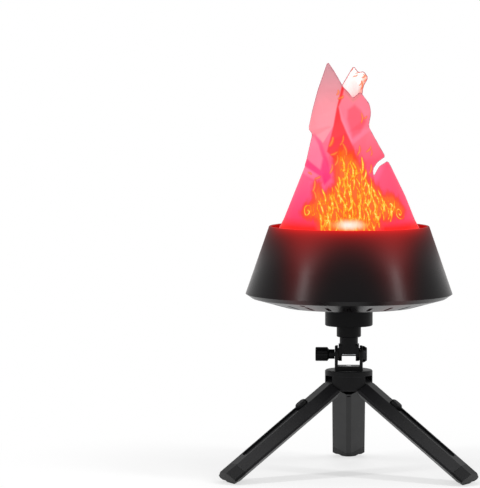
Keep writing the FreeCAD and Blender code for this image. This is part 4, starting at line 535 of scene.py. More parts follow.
    # A plain weave, drawn 1.8 mm wide because its real threads are too fine to show
    threads = {"Vector": cloth, "Scale": wave_scale(WEAVE_PITCH)}
    warp, weft = (add("TexWave", threads, way).outputs["Fac"] for way in "XY")
    weave = add("Math", [warp, weft], "MULTIPLY")
    rumple = add("TexNoise", {"Vector": cloth, "Scale": 1 / (20 * MM), "Detail": 3.0,
                              "Distortion": 0.8})
    normal = add("Bump", {"Height": rumple, "Distance": 1.2 * MM, "Strength": 0.4})
    normal = add("Bump", {"Height": weave, "Distance": 0.04 * MM, "Strength": 0.3,
                          "Normal": normal})
    # Painted glow: the cloth's emission stands in for lamp light through it, strongest at the
    # pale, undyed tip.
    pale = add("SeparateColor", [dye.outputs["Color"]]).outputs["Green"]
    painted_glow = add("MapRange", [pale, 0.45, 0.85, 0.11, 0.43])
    face = add("BsdfPrincipled", {
        "Base Color": colour, "Roughness": 0.6, "IOR": 1.45, "Specular IOR Level": 0.15,
        "Sheen Weight": 0.1, "Sheen Roughness": 0.4, "Normal": normal,
        "Emission Color": colour, "Emission Strength": painted_glow,
    })
    through = add("BsdfTranslucent", {"Color": colour, "Normal": normal})
    add("OutputMaterial", [add("MixShader", [0.3, face, through])])
    return material


def stitched_edge():
    """Overlocked polyester thread round the silk's cut edge: dull rose, in slanted turns.

    The turns are drawn 2.7 mm apart, because the real thread's are too fine to show.
    """
    material, add = blank("Overlocked polyester thread")
    place = add("TexCoord").outputs["Object"]
    turns = add("TexWave", {"Vector": place, "Scale": wave_scale(TURN_PITCH)},
                "DIAGONAL").outputs["Fac"]
    # Painted shade: the thread is darker between its turns.
    colour = add("Mix", {0: turns, 6: "#9c5560", 7: "#c07c86"}, "RGBA")
    # The emission is a painted glow, standing in for the lamps' light through the thread.
    shader = add("BsdfPrincipled", {
        "Base Color": colour, "Roughness": 0.8, "Emission Color": colour,
        "Emission Strength": 0.12,
        "Normal": add("Bump", {"Height": turns, "Distance": 0.1 * MM, "Strength": 0.6}),
    })
    add("OutputMaterial", [shader])
    return material


def studio_paint():
    """Rolled matt white paint: a faint tooth and a soft shadow, and white to the camera far off.

    Away from the object the camera sees plain white, as it does past the floor's end. Nearer, it
    sees paint and white mixed, which keeps the shadow and softens it.
    """
    material, add = blank("Rolled white studio paint")
    place = add("TexCoord").outputs["Object"]
    tooth = add("TexNoise", {"Vector": place, "Scale": 1 / (30 * MM), "Detail": 3.0})
    shade = add("Mix", {0: tooth, 6: "#dedede", 7: "#e2e2e2"}, "RGBA")
    rolled = add("BsdfPrincipled", {"Base Color": shade, "Roughness": 0.9,
                                    "Specular IOR Level": 0.1})
    white = add("Emission", ["#ffffff", 1.0])
    far = add("VectorMath", [place], "LENGTH")
    away = add("MapRange", [far, 0.13, 0.42, 0.60], "SMOOTHSTEP")
    share = add("Math", [away, sees_background(add)], "MULTIPLY")
    add("OutputMaterial", [add("MixShader", [share, rolled, white])])
    return material


# Meshes


def surface_object(name, points, faces, uv=None):
    """A smooth mesh object from arrays of points and faces, at the origin."""
    mesh = bpy.data.meshes.new(name)
    mesh.from_pydata(np.asarray(points, float).tolist(), [], np.asarray(faces).tolist())
    if uv is not None:
        layer = mesh.uv_layers.new(name="cloth")
        corner = np.empty(len(mesh.loops), np.int32)
        mesh.loops.foreach_get("vertex_index", corner)
        layer.data.foreach_set("uv", np.asarray(uv, float)[corner].ravel())
    mesh.polygons.foreach_set("use_smooth", np.ones(len(mesh.polygons), bool))
    mesh.update()
    piece = bpy.data.objects.new(name, mesh)
    bpy.context.scene.collection.objects.link(piece)
    return piece


def grid_faces(rows, columns, closed=False):
    """Quads of a grid of points stored row by row, whose rows may close on themselves."""
    i, j = np.meshgrid(np.arange(rows - 1), np.arange(columns if closed else columns - 1),
                       indexing="ij")
    i, j = i.ravel(), j.ravel()
    right = (j + 1) % columns
    return np.stack([i * columns + j, (i + 1) * columns + j, (i + 1) * columns + right,
                     i * columns + right], axis=1)


def ring_angles(sides):
    """Equal angles of a full turn, as a row."""
    return np.linspace(0, 2 * np.pi, sides, endpoint=False)[None, :]


def joined(parts):
    """Several pairs of points and faces as one pair."""
    points, faces = zip(*parts)
    starts = np.cumsum([0] + [len(part) for part in points[:-1]])
    return np.concatenate(points), np.concatenate([f + s for f, s in zip(faces, starts)])


def turned(profile, centre, segments=32):
    """A profile of (radius, height) turned round an upright axis.

    P(s, a) = (c.x + r(s) cos a, c.y + r(s) sin a, z(s)), with a from 0 to a full turn.
    """
    a = ring_angles(segments)
    radius, height = profile[:, :1], profile[:, 1:]
    points = np.stack([centre[0] + radius * np.cos(a), centre[1] + radius * np.sin(a),
                       height + 0 * a], axis=-1).reshape(-1, 3)
    return points, grid_faces(len(profile), segments, closed=True)


def carried(path, radius, sides=8):
    """A round profile carried along a path, open at its ends.

    P(s, a) = path(s) + radius (u cos a + v sin a), with u square to the path and to the line
    from the upright axis, and v square to both the path and u.
    """
    along = np.gradient(path, axis=0)
    along /= np.linalg.norm(along, axis=1)[:, None] + 1e-12
    out = path * [1, 1, 0] + [0, 0, 1e-6]
    u = np.cross(along, out)
    u /= np.linalg.norm(u, axis=1)[:, None] + 1e-12
    v = np.cross(u, along)
    a = ring_angles(sides)[..., None]
    points = path[:, None] + radius * (u[:, None] * np.cos(a) + v[:, None] * np.sin(a))
    return points.reshape(-1, 3), grid_faces(len(path), sides, closed=True)


def close_up(piece):
    """Merges doubles, closes open ends and turns all faces outwards."""
    work = bmesh.new()
    work.from_mesh(piece.data)
    bmesh.ops.remove_doubles(work, verts=work.verts, dist=1e-6)
    bmesh.ops.dissolve_degenerate(work, dist=1e-7, edges=work.edges)
    bmesh.ops.holes_fill(work, edges=[edge for edge in work.edges if edge.is_boundary])
    bmesh.ops.recalc_face_normals(work, faces=work.faces)
    work.to_mesh(piece.data)
    work.free()
    return piece


def dress(piece, material, body, slot, *nodes):
    """Gives a piece its material and its body, and hides the nodes that it replaces. Its slot is
    not used.
    """
    piece.data.materials.append(material)
    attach(piece, body)
    if nodes:
        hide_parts(*nodes)
    return piece


def coat(material, *nodes):
    """Gives frame nodes a material."""
    for name in nodes:
        node = frame["nodes"][name]
        if not node.material_slots:
            node.data.materials.append(material)
        for slot in node.material_slots:
            slot.material = material


def paint(piece, label, values):
    """Stores a colour at each point of a piece."""
    layer = piece.data.color_attributes.new(label, "FLOAT_COLOR", "POINT")
    layer.data.foreach_set("color", np.ravel(values))


def node_points(node):
    """A frame node's points as an array."""
    mesh = frame["nodes"][node].data
    places = np.empty(len(mesh.vertices) * 3)
    mesh.vertices.foreach_get("co", places)
    return places.reshape(-1, 3)


def sectors(node, count, first):
    """Low and high corners of a node's solids, one for each equal sector round the axis."""
    places = node_points(node)
    step = 2 * np.pi / count
    angle = np.arctan2(places[:, 1], places[:, 0]) - math.radians(first)
    index = np.round(angle / step).astype(int) % count
    return [(places[index == k].min(axis=0), places[index == k].max(axis=0))
            for k in range(count)]


# The silk flame

# Each outline is a list of places across, in radii, and up, in heights.
FRONT_OUTLINE = np.array([
    (-1.2, -0.1), (-1.2, 0.09), (-0.90, 0.12), (-0.70, 0.342), (-0.62, 0.40), (-0.58, 0.445),
    (-0.50, 0.592), (-0.555, 0.62), (-0.505, 0.72), (-0.43, 0.84), (-0.30, 1.0), (-0.19, 0.93),
    (-0.09, 0.86), (-0.02, 0.83), (0.045, 0.795), (0.15, 0.83), (0.28, 0.76), (0.30, 0.71),
    (0.265, 0.635), (0.38, 0.55), (0.49, 0.465), (0.39, 0.435), (0.325, 0.395), (0.335, 0.35),
    (0.42, 0.41), (0.525, 0.438), (0.62, 0.36), (0.93, 0.10), (1.2, 0.05), (1.2, -0.1),
])
BACK_OUTLINE = np.array([
    (-1.2, -0.1), (-1.2, 0.05), (-0.66, 0.30), (-0.52, 0.46), (-0.40, 0.57), (-0.30, 0.70),
    (-0.18, 0.80), (-0.08, 0.88), (0.055, 0.975), (0.12, 0.94), (0.20, 0.945), (0.26, 0.91),
    (0.19, 0.86), (0.17, 0.80), (0.27, 0.70), (0.25, 0.60), (0.29, 0.50), (0.28, 0.36),
    (0.66, 0.28), (1.2, 0.05), (1.2, -0.1),
])
# The cloth's points lie a share of its size apart, and each panel stands off their middle. The
# hem's own cloth coordinates lie beside the flames.
CLOTH_STEP, HALF_GAP, HEM_SHIFT = 1 / 210, 0.2 * MM, 0.2
# Rows of height, half width, half depth and fold share
SECTIONS = np.array([
    (0.0, 1.0, 1.0, 0.0), (0.022, 1.0, 1.0, 0.0), (0.10, 0.90, 0.87, 0.7),
    (0.40, 0.61, 0.54, 1.0), (0.62, 0.57, 0.32, 1.0), (0.83, 0.48, 0.17, 0.8),
    (1.0, 0.38, 0.09, 0.5),
])
FOLDS = 5

# Corners of the silk's flat facets: across, up and how far each is pushed out, in millimetres
FRONT_FACETS = (
    (-95, -8, 0), (0, -8, 0), (95, -8, 0), (-95, 190, 0), (95, 190, 0), (-22, 177, 0.5),
    (-6, 152, -1.5), (3, 140, -1), (12, 146, 0), (21.6, 134, 1), (22, 127, 1), (20, 111, 0),
    (36, 83, 2), (25, 72, 0), (25, 62, 0), (38, 78, 1), (51, 51, 1), (66, 18, 0),
    (-32, 148, 1.5), (-40, 119, 2.5), (-41, 108, 3.5), (-26, 96, 4.5), (-16, 113, -1),
    (-12.8, 131, -3), (-8, 119, -3.5), (-2.5, 106, 0.5), (3.3, 96, 3.5), (5, 133, -1),
    (14, 119, 2.5), (-37, 101, -1), (-43, 84, 1.5), (-27, 82, 2.5), (-21, 70, -4),
    (-28, 65, 2), (-44, 66, 1), (-46, 60, 0), (-24, 55, -3.5), (-7, 84, -3), (12, 78, 1.5),
    (0, 52, 1.5), (-34, 40, 1.5), (-68, 18, 0), (30, 40, -1.5), (48, 28, 1.5), (-52, 24, 1.0),
    (-12, 24, -1.0), (18, 22, 1.0), (0, 6, 0), (-50, 6, 0), (50, 6, 0),
)
BACK_FACETS = (
    (-95, -8, 0), (0, -8, 0), (95, -8, 0), (-95, 190, 0), (95, 190, 0), (4, 172, 0),
    (18, 162, 1), (12, 145, -2), (-8, 140, 3), (18, 122, 3), (2, 112, -3), (-20, 112, 2),
    (-34, 90, -1.5), (-10, 84, 3.5), (14, 84, -2.5), (20, 60, 2), (-40, 52, 3), (-12, 48, -3),
    (12, 34, 2.5), (44, 30, -1.5), (-56, 22, 1), (-20, 18, -1), (30, 14, 1), (0, 6, 0),
    (-50, 6, 0), (50, 6, 0),
)

# The dye's colour up the cloth, with a painted lamp glow that turns it red towards the hem:
# height in millimetres and colour
FRONT_DYE_AND_PAINTED_GLOW = ((0, "#ff1a18"), (12, "#ff241f"), (21, "#ff4470"), (40, "#ff5283"), (66, "#fd668f"),
             (92, "#fa728f"), (112, "#f87c94"), (140, "#ee8092"), (177, "#d8969e"))
BACK_DYE_AND_PAINTED_GLOW = ((0, "#ff1a18"), (12, "#ff241f"), (21, "#ff4470"), (45, "#ff5283"), (70, "#fd6b90"),
            (105, "#fb8fa6"), (128, "#fbb9c0"), (146, "#fbeae8"), (177, "#fdf8f6"))

# Folds painted with light and shade: paler or deeper as the light falls on each facet, and some
# also lie double. The colours at their top and foot, the softness of their edges, and their
# corners, in millimetres
FRONT_PAINTED_FOLD_SHADING = (
    ("#c8989f", "#ff98a6", 0.7, ((-22.2, 178), (-6.3, 153.6), (-7.1, 148), (-12.8, 130.4),
                                 (-16, 112.7), (-26.4, 95.9), (-41.5, 108.7), (-45, 119),
                                 (-36, 148))),
    ("#f4788c", "#f64a6e", 2.5, ((3.7, 96.7), (19.8, 111), (38, 84), (24.9, 72.7),
                                 (23.3, 63), (14.5, 74.3), (6.5, 87.1))),
    ("#fb8aa6", "#fb7da0", 1.6, ((-37.1, 103.1), (-30.4, 93.5), (-26.4, 80.7), (-28.8, 67.9),
                                 (-40, 75.9), (-46, 82.3))),
    ("#fb6790", "#f42c76", 1.6, ((-35.2, 104.7), (-28.8, 98.3), (-20.8, 77.5), (-18, 61.4),
                                 (-24.8, 54), (-28.8, 67.9), (-26.4, 80.7), (-30.4, 93.5))),
    ("#ff4c85", "#ff4284", 1.3, ((-44, 80.7), (-38.4, 75.9), (-25.2, 66.3), (-28.8, 61.7),
                                 (-46, 72.3))),
    ("#fb7ea2", "#fb7a9f", 1.3, ((-46, 72.3), (-28.8, 62.7), (-32.8, 58), (-47, 65))),
    ("#f85c80", "#f8486e", 3.0, ((38, 79), (53, 51), (68, 18.2), (51.3, 18.2), (35.3, 39),
                                 (26.5, 55))),
    ("#fa6276", "#fa5e74", 2.2, ((-1.5, 128.8), (5.2, 133.9), (11.3, 128.8), (16.9, 117.5),
                                 (11.3, 106.3), (3.3, 101.2), (-2.3, 119.2))),
    ("#d98086", "#de868c", 1.6, ((-3.1, 150), (3.3, 141), (11.3, 147), (11.8, 142.9),
                                 (3.7, 136.1), (-5.1, 145.3))),
    ("#f8889c", "#fa8098", 0.9, ((-10.8, 132), (-8.3, 128), (-0.7, 106.3), (3.3, 98.3),
                                 (2, 95.7), (-5.1, 106.3), (-9.2, 119.2))),
    ("#f88098", "#fa7892", 1.1, ((21, 113), (3.3, 98.3), (3.7, 94.5), (21, 108.3))),
    ("#e5383c", "#fb4250", 0.9, ((-7.5, 154), (-4.4, 153.5), (-7.6, 140), (-10.8, 132),
                                 (-8.4, 119.2), (-2.8, 106.3), (3.3, 93.5), (8, 78),
                                 (-12.8, 78), (-22.4, 87.1), (-19.2, 99.9), (-16, 112.7),
                                 (-12.8, 130.4), (-10.7, 140))),
)
BACK_PAINTED_FOLD_SHADING = (
    ("#f7d6d2", "#fb9aa8", 3.0, ((-20, 140), (-6, 128), (-10, 92), (-30, 96))),
    ("#fbd0c0", "#f9bcb0", 2.5, ((14, 164), (20, 160), (14, 140), (18, 126), (8, 138))),
    ("#fb6794", "#f3397f", 2.0, ((-14, 84), (2, 70), (-4, 50), (-22, 58))),
)

# The print's haze, in millimetres of cloth: the width in which its edge runs out, its outline
HAZE_SOFTNESS = 28
HAZE = ((-19, 84), (-14, 92), (-4, 96), (6, 90), (13, 80), (25, 62), (38, 49), (60, 43),
        (72, 29), (64, 20), (36, 16), (29, 4), (-29, 4), (-36, 16), (-52, 20), (-59, 27),
        (-51, 37), (-43, 42), (-42, 57), (-37, 60), (-27, 50), (-17, 57))
# Rows of its tongues of fire: height of their roots, and where the row starts and ends
TONGUE_ROWS = ((5, -30, 30), (12, -30, 32), (19, -30, 50), (27, -27, 52), (35, -24, 42),
               (43, -18, 30), (51, -12, 25), (59, -6, 20), (67, -4, 14))
# Spirals of the print: centre, hand and reach
CURLS = ((-46, 29, 1, 7.5), (-38, 25, -1, 5.0), (59, 27, -1, 8.0), (46, 33, 1, 6.0),
         (30, 22, 1, 6.0), (-24, 20, -1, 5.5))
# Loose licks: root, height, lean and width
FRONT_LICKS = (
    (-21, 93, 9, 5, 2.2), (-19, 84, 3, 8, 1.5), (12, 116, 10, 1, 1.2), (15, 120, 3, 4, 1.0),
    (18, 87, 6, 6, 1.3), (23, 83, 7, 1, 1.0), (-50, 66, -2, 8, 1.1), (-11, 140, 3, 6, 1.5),
    (-13, 144, 5, 2, 1.2), (-40, 48, 12, 2, 1.8), (-38, 60, 3, 8, 1.3), (-14, 74, 10, 3, 1.8),
    (-3, 84, 12, -3, 1.6), (-20, 66, 9, 3, 1.5), (-36, 40, 9, -3, 1.6), (21, 66, 9, 3, 1.5),
    (8, 84, 10, 3, 1.3), (-9, 94, 10, 4, 1.2),
)
BACK_LICKS = (
    (4, 162, 2, 5, 0.7), (6, 165, 3, 5, 0.6), (13, 161, 2, 5, 0.8), (15, 164, -3, 5, 0.6),
    (12, 149, 9, 2, 0.9), (2, 168, 5, 1, 0.5), (10, 153, 5, 3, 0.6), (15, 157, 3, 4, 0.6),
    (10, 120, 8, -3, 1.2), (-8, 110, 7, 4, 1.2), (14, 90, 9, 3, 1.3), (-18, 88, 8, -2, 1.4),
    (2, 98, 6, 5, 1.1),
)


def section_at(rise):
    """Half width, half depth and fold share at each height, run straight between the rows."""
    return [np.interp(rise, SECTIONS[:, 0], SECTIONS[:, k]) for k in (1, 2, 3)]


def line_gap(x, y, start, end):
    """Distance of each point from a line between two places, and how far along it is, 0 to 1."""
    dx, dy = end[0] - start[0], end[1] - start[1]
    share = ((x - start[0]) * dx + (y - start[1]) * dy) / (dx * dx + dy * dy + 1e-12)
    share = np.clip(share, 0, 1)
    return np.hypot(x - start[0] - share * dx, y - start[1] - share * dy), share


def facet_push(x, z, facets):
    """Push of a sheet folded along straight creases, in millimetres.

    Triangles join the facets' corners, and inside one the push is the mean of its corners',
    weighted by the point's shares in it. Five such pushes, a crease's softness apart, are
    averaged, which rounds the creases.
    """
    corners = np.array(facets, float)
    places, _, triangles, source, *_ = geometry.delaunay_2d_cdt(
        [Vector(place) for place in corners[:, :2].tolist()], [], [], 0, 1e-6
    )
    soft = sizes().crease_softness / MM
    total = np.zeros_like(x)
    for shift_x, shift_z in ((0, 0), (soft, 0), (-soft, 0), (0, soft), (0, -soft)):
        px, pz = x + shift_x, z + shift_z
        for triangle in triangles:
            (x0, z0), (x1, z1), (x2, z2) = (places[k] for k in triangle)
            p0, p1, p2 = (corners[source[k][0], 2] for k in triangle)
            whole = (z1 - z2) * (x0 - x2) + (x2 - x1) * (z0 - z2)
            u = ((z1 - z2) * (px - x2) + (x2 - x1) * (pz - z2)) / whole
            v = ((z2 - z0) * (px - x2) + (x0 - x2) * (pz - z2)) / whole
            inside = (u >= 0) & (v >= 0) & (u + v < 1)
            total += np.where(inside, u * p0 + v * p1 + (1 - u - v) * p2, 0.0)
    return total / 5


def silk_shape(turn, rise, side, facets):
    """Places on a panel for turn (0 at its left seam, 1 at its right) and rise (0 to 1).

    x = -(w + f / 2) cos(pi turn), y = side (e + (d + f + c) sin(pi turn)), z = hem + rise height,
    with w and d the section's half width and depth, f the soft folds' depth,
    fold share * sin(5 pi turn) * sin(pi turn), c the facets' push and e half the panels' gap.
    The sum d + f + c is held at 0 or more, so that a panel never crosses the other.
    """
    radius, height = sizes().silk_radius, sizes().silk_height
    width, depth, fold = section_at(rise)
    angle = np.pi * turn
    swing = sizes().fold_depth * fold * np.sin(FOLDS * angle) * np.sin(angle)
    push = facet_push(-width * np.cos(angle) * radius / MM, rise * height / MM, facets) * MM
    push = push * np.clip(rise * 12, 0, 1)  # the lowest twelfth eases into the plain hem
    x = -(width * radius + swing * 0.5) * np.cos(angle)
    out = (depth * radius + swing + push) * np.sin(angle)
    y = side * (HALF_GAP + np.maximum(out, 0.0))
    return np.stack([x, y, SILK_LOW.z + rise * height], axis=-1)


def dense(outline, step):
    """An outline with points added so that no edge is longer than a step, in shares."""
    points = []
    for first, last in zip(outline, np.roll(outline, -1, axis=0)):
        count = max(1, int(np.ceil(np.linalg.norm(last - first) / step)))
        points.append(first + (last - first) * (np.arange(count)[:, None] / count))
    return np.concatenate(points)


def softened(outline):
    """An outline with its corners cut, 0.012 along each edge or a quarter of a shorter edge."""
    ahead = np.roll(outline, -1, axis=0) - outline
    share = np.minimum(0.25, 0.012 / np.linalg.norm(ahead, axis=1))[:, None]
    return np.stack([outline + ahead * share, outline + ahead * (1 - share)],
                    axis=1).reshape(-1, 2)


def gap_to(x, y, outline):
    """Distance of each point from a closed outline, below 0 outside it."""
    inside = np.zeros(len(x), bool)
    least = np.full(len(x), np.inf)
    for (x0, y0), (x1, y1) in zip(outline, np.roll(outline, -1, axis=0)):
        if y0 != y1:
            inside ^= ((y0 > y) != (y1 > y)) & (x < (x1 - x0) * (y - y0) / (y1 - y0) + x0)
        least = np.minimum(least, line_gap(x, y, (x0, y0), (x1, y1))[0])
    return np.where(inside, least, -least)


def cut_cloth(outline, step):
    """A flat cut in shares of turn and rise: its points, its triangles and its edge.

    Its points are those of its edge, at least 0.3 steps apart, and those of a staggered grid
    that lie 0.45 steps or more inside it.
    """
    edge = dense(softened(outline), step)
    rise = np.clip(edge[:, 1], 0.0, 1.0)
    width = section_at(rise)[0]
    turn = np.arccos(np.clip(-edge[:, 0] / width, -1, 1)) / np.pi
    edge = np.stack([turn, rise], axis=1)
    keep = [0]
    for index in range(1, len(edge)):
        if np.linalg.norm(edge[index] - edge[keep[-1]]) > step * 0.3:
            keep.append(index)
    if np.linalg.norm(edge[keep[-1]] - edge[0]) < step * 0.3:
        keep.pop()
    edge = edge[keep]
    count = int(1 / step)
    i, j = np.meshgrid(np.arange(1, count), np.arange(1, count), indexing="ij")
    inner = np.stack([(i + 0.5 * (j % 2)).ravel() / count, j.ravel() / count], axis=1)
    inner = inner[gap_to(inner[:, 0], inner[:, 1], edge) > step * 0.45]
    points = np.concatenate([edge, inner])
    loop = [(k, (k + 1) % len(edge)) for k in range(len(edge))]
    corners, _, faces, *_ = geometry.delaunay_2d_cdt(
        [Vector(p) for p in points.tolist()], loop, [list(range(len(edge)))], 1, 1e-7
    )
    return np.array([tuple(c) for c in corners]), np.array([list(f) for f in faces]), edge


def dyed(x, up, dye, painted_fold_shading):
    """The dye's colour at places across and up, with its painted lamp glow, and the folds'
    painted light and shade laid over it; some folds also lie double.

    A fold covers it by 3 t^2 - 2 t^3, where t runs from 0 to 1 over its softness either way of
    its outline.
    """
    heights = [height for height, _ in dye]
    shades = np.array([linear(code) for _, code in dye])
    colour = np.stack([np.interp(up, heights, shades[:, k]) for k in range(4)], axis=1)
    for top, foot, soft, corners in painted_fold_shading:
        outline = np.array(corners, float)
        ends = outline[:, 1].min(), outline[:, 1].max()
        painted_fold_colour = np.stack([np.interp(up, ends, pair)
                         for pair in zip(linear(foot), linear(top))], axis=1)
        cover = np.clip(gap_to(x, up, outline) / soft * 0.5 + 0.5, 0, 1)
        cover = (cover * cover * (3 - 2 * cover))[:, None]
        colour = colour * (1 - cover) + painted_fold_colour * cover
    return colour


def lick_field(x, up, licks):
    """Highest 1 - distance / (1.9 widths) over the licks' lines, which climb in a shallow S.

    A line is (x0 + lean s + sin(4 s), z0 + height s), and its width falls towards its end as
    the root of sin(pi (0.15 + 0.85 s)).
    """
    best = np.zeros_like(x)
    s = np.linspace(0, 1, 9)
    for x0, z0, height, lean, width in licks:
        line = list(zip(x0 + lean * s + np.sin(4 * s), z0 + height * s))
        thick = width * np.sqrt(np.clip(np.sin(np.pi * (0.15 + 0.85 * s)), 0.04, 1))
        for k in range(len(s) - 1):
            gap, share = line_gap(x, up, line[k], line[k + 1])
            here = thick[k] + (thick[k + 1] - thick[k]) * share
            best = np.maximum(best, 1 - gap / (here * 1.9))
    return best


def fire_tongues():
    """Roots, heights, leans and widths of the print's tongues of fire, in millimetres.

    In a row they stand 5.5 mm apart. A seeded draw moves each root by up to 2 mm, and takes a
    height from 9 to 19 mm, a lean up to 6 mm either way and a width from 0.6 to 1.3 mm.
    """
    draw = np.random.default_rng(5)
    rows = []
    for root, start, end in TONGUE_ROWS:
        x = np.arange(start, end, 5.5)
        spread = [draw.uniform(low, high, len(x))
                  for low, high in ((-2, 2), (-2, 2), (9, 19), (-6, 6), (0.6, 1.3))]
        rows.append(np.stack([x + spread[0], root + spread[1], *spread[2:]], axis=1))
    return np.concatenate(rows)


def silk_panel(name, node, outline, side, facets, dye, painted_fold_shading, licks, material):
    """One panel of silk: cut, folded, dyed, painted with light and shade, printed, thickened and
    set on its body.

    Returns the panel, its stitched edge, its flat size and its flat area.
    """
    flat, faces, edge = cut_cloth(outline, CLOTH_STEP)
    points = silk_shape(flat[:, 0], flat[:, 1], side, facets)
    width = section_at(flat[:, 1])[0]
    across = width * sizes().silk_radius * (flat[:, 0] - 0.5) * np.pi
    up = flat[:, 1] * sizes().silk_height
    piece = surface_object(name, points, faces, np.stack([across, up], axis=1))
    s, z = across / MM, up / MM
    haze = gap_to(s, z, np.array(HAZE, float))
    marks = np.stack([
        np.clip(haze / HAZE_SOFTNESS + 0.5, 0, 1), lick_field(s, z, fire_tongues()),
        lick_field(s, z, licks), np.ones_like(s),
    ], axis=1)
    paint(piece, "silk_print", marks)
    # The dye's colour carries a painted lamp glow and the folds' painted light and shade.
    paint(piece, "silk_dye_and_painted_light", dyed(points[:, 0] / MM, z, dye, painted_fold_shading))
    a, b, c = (points[faces[:, k]] for k in range(3))
    area = float(np.linalg.norm(np.cross(b - a, c - a), axis=1).sum() / 2)
    shell = piece.modifiers.new("Cloth", "SOLIDIFY")
    shell.thickness = sizes().silk_thickness
    shell.offset = 0.0
    dress(piece, material, "lantern", "flame_silk", node)
    # The stitched edge runs from one seam over the flame to the other, clear of the hem.
    free = np.roll(edge, -int(np.argmax(edge[:, 1] < 1e-6)), axis=0)
    free = free[free[:, 1] > 0.004]
    rim = silk_shape(free[:, 0], free[:, 1], side, facets)
    thread = close_up(surface_object(name + "_edge", *carried(rim, sizes().edge_radius)))
    dress(thread, stitched_edge(), "lantern", "flame_silk")
    return piece, thread, (float(np.ptp(across)), float(np.ptp(up))), area


def hem_band(name, side, material, rows=97, sides=12):
    """The silk's turned hem: a flat tube of cloth along the panel's foot.

    Its section is an ellipse with half axes of 0.5 mm across and 2.2 mm up, whose middle is
    2.3 mm above the panel's lowest row, carried along that row.
    """
    turn = np.linspace(0.0, 1.0, rows)
    path = silk_shape(turn, np.zeros(rows), side, ((-95, 0, 0), (95, 0, 0), (0, 190, 0)))
    out = path * [1, 1, 0]
    out = (out / np.linalg.norm(out, axis=1)[:, None])[:, None]
    a = ring_angles(sides)[..., None]
    ring = (out * np.cos(a) * 0.5 + np.array([0, 0, 1]) * (np.sin(a) * 2.2 + 2.3)) * MM
    points = (path[:, None] + ring).reshape(-1, 3)
    uv = np.stack([points[:, 0] + HEM_SHIFT, points[:, 2] - SILK_LOW.z], axis=1)
    piece = surface_object(name, points, grid_faces(rows, sides, closed=True), uv)
    paint(piece, "silk_print", np.tile((0.1, 0, 0, 1), len(points)))
    # The hem's red is its dye with the painted lamp glow at the foot.
    paint(piece, "silk_dye_and_painted_light", np.tile(linear("#ff1c18"), len(points)))
    return dress(close_up(piece), material, "lantern", "flame_silk")


# Lamps and screws

SCREW_SIDES, SCREW_PITCH = 48, 0.8 * MM


def lamp_lens(centre, base):
    """A lamp: a round base with a chamfer, and a domed lens on it, turned as one profile.

    The dome is r = R cos t, z = base + 1.6 mm + 2.3 mm sin t, for t from 0 to a quarter turn.
    """
    t = np.linspace(0, np.pi / 2, 9)
    foot = np.array([(0.0, 0.0), (3.9, 0.0), (3.9, 1.2), (3.6, 1.6)]) * MM
    dome = np.stack([sizes().lens_radius * np.cos(t), (1.6 + 2.3 * np.sin(t)) * MM], axis=1)
    return turned(np.concatenate([foot, dome]) + [0, base], centre)


def cross_screw(low, high, head_height, shank_radius, up=1):
    """A pan-head screw with a cross recess and a thread, as one closed grid.

    On the head, at x and y from its axis, the height is H (1 - 0.35 (r / R)^2) less a cut 0.6 H
    deep where the smaller of |x| and |y| is under about 0.11 R and r is under about 0.6 R. The
    shank's radius is r0 (0.92 + 0.14 |2 frac(z / pitch - a / a full turn) - 1|).
    """
    centre, radius = (low + high) / 2, (high[0] - low[0]) / 2
    a = ring_angles(SCREW_SIDES)
    r = np.linspace(0.0, 1.0, 18)[:, None]
    arm = np.minimum(np.abs(r * np.cos(a)), np.abs(r * np.sin(a)))
    cut = np.clip((0.14 - arm) / 0.05, 0, 1) * np.clip((0.66 - r) / 0.1, 0, 1)
    reach = high[2] - low[2] - head_height
    down = -np.linspace(0, reach, 30)[:, None]
    thread = np.abs(2 * np.mod(down / SCREW_PITCH - a / (2 * np.pi), 1.0) - 1)
    grid = np.concatenate([
        np.stack([wide * np.cos(a), wide * np.sin(a), height + 0 * a], axis=-1)
        for wide, height in (
            (radius * r, head_height * (1 - 0.35 * r**2 - 0.6 * cut)),
            (radius, np.zeros((1, 1))),
            (shank_radius * (0.92 + 0.14 * thread), down),
            (0.0, np.full((1, 1), -reach)),
        )
    ])
    top = high[2] - head_height if up > 0 else low[2] + head_height
    points = grid.reshape(-1, 3) * [1, 1, up] + [centre[0], centre[1], top]
    return points, grid_faces(len(grid), SCREW_SIDES, closed=True)


def leaf_spring(places, lift, strip=0.5 * MM, steps=49):
    """A steel strip in the place of a spring's points, bent up from two feet to a crest.

    P(s, b) = centre + s d + b w + H (1 + cos(pi c(s))) / 2 lift, with c(s) = 3 |s| / L - 1 held
    between 0 and 1, so that the crest and the two feet with their bends share the length.
    Returns its points and faces, the middle of its foot and its height.
    """
    level = math.hypot(lift[0], lift[1])
    along = np.array([lift[0] * lift[2] / level, lift[1] * lift[2] / level, -level])
    axes = np.stack([along, np.cross(lift, along), lift])
    local = places @ axes.T
    low, high = local.min(axis=0), local.max(axis=0)
    middle, tall = (low + high) / 2, high[2] - low[2]
    s = np.linspace(low[0], high[0], steps)
    bend = np.clip(3 * np.abs(s - middle[0]) / (high[0] - middle[0]) - 1, 0, 1)
    rise = low[2] + (tall - strip) * (1 + np.cos(np.pi * bend)) / 2
    ring = [np.stack([s, np.full(steps, side), rise + face], axis=-1) for side, face in
            ((low[1], 0), (high[1], 0), (high[1], strip), (low[1], strip))]
    points = np.stack(ring, axis=1).reshape(-1, 3) @ axes
    foot = np.array([middle[0], middle[1], low[2]]) @ axes
    return points, grid_faces(steps, 4, closed=True), foot, tall


# The steps


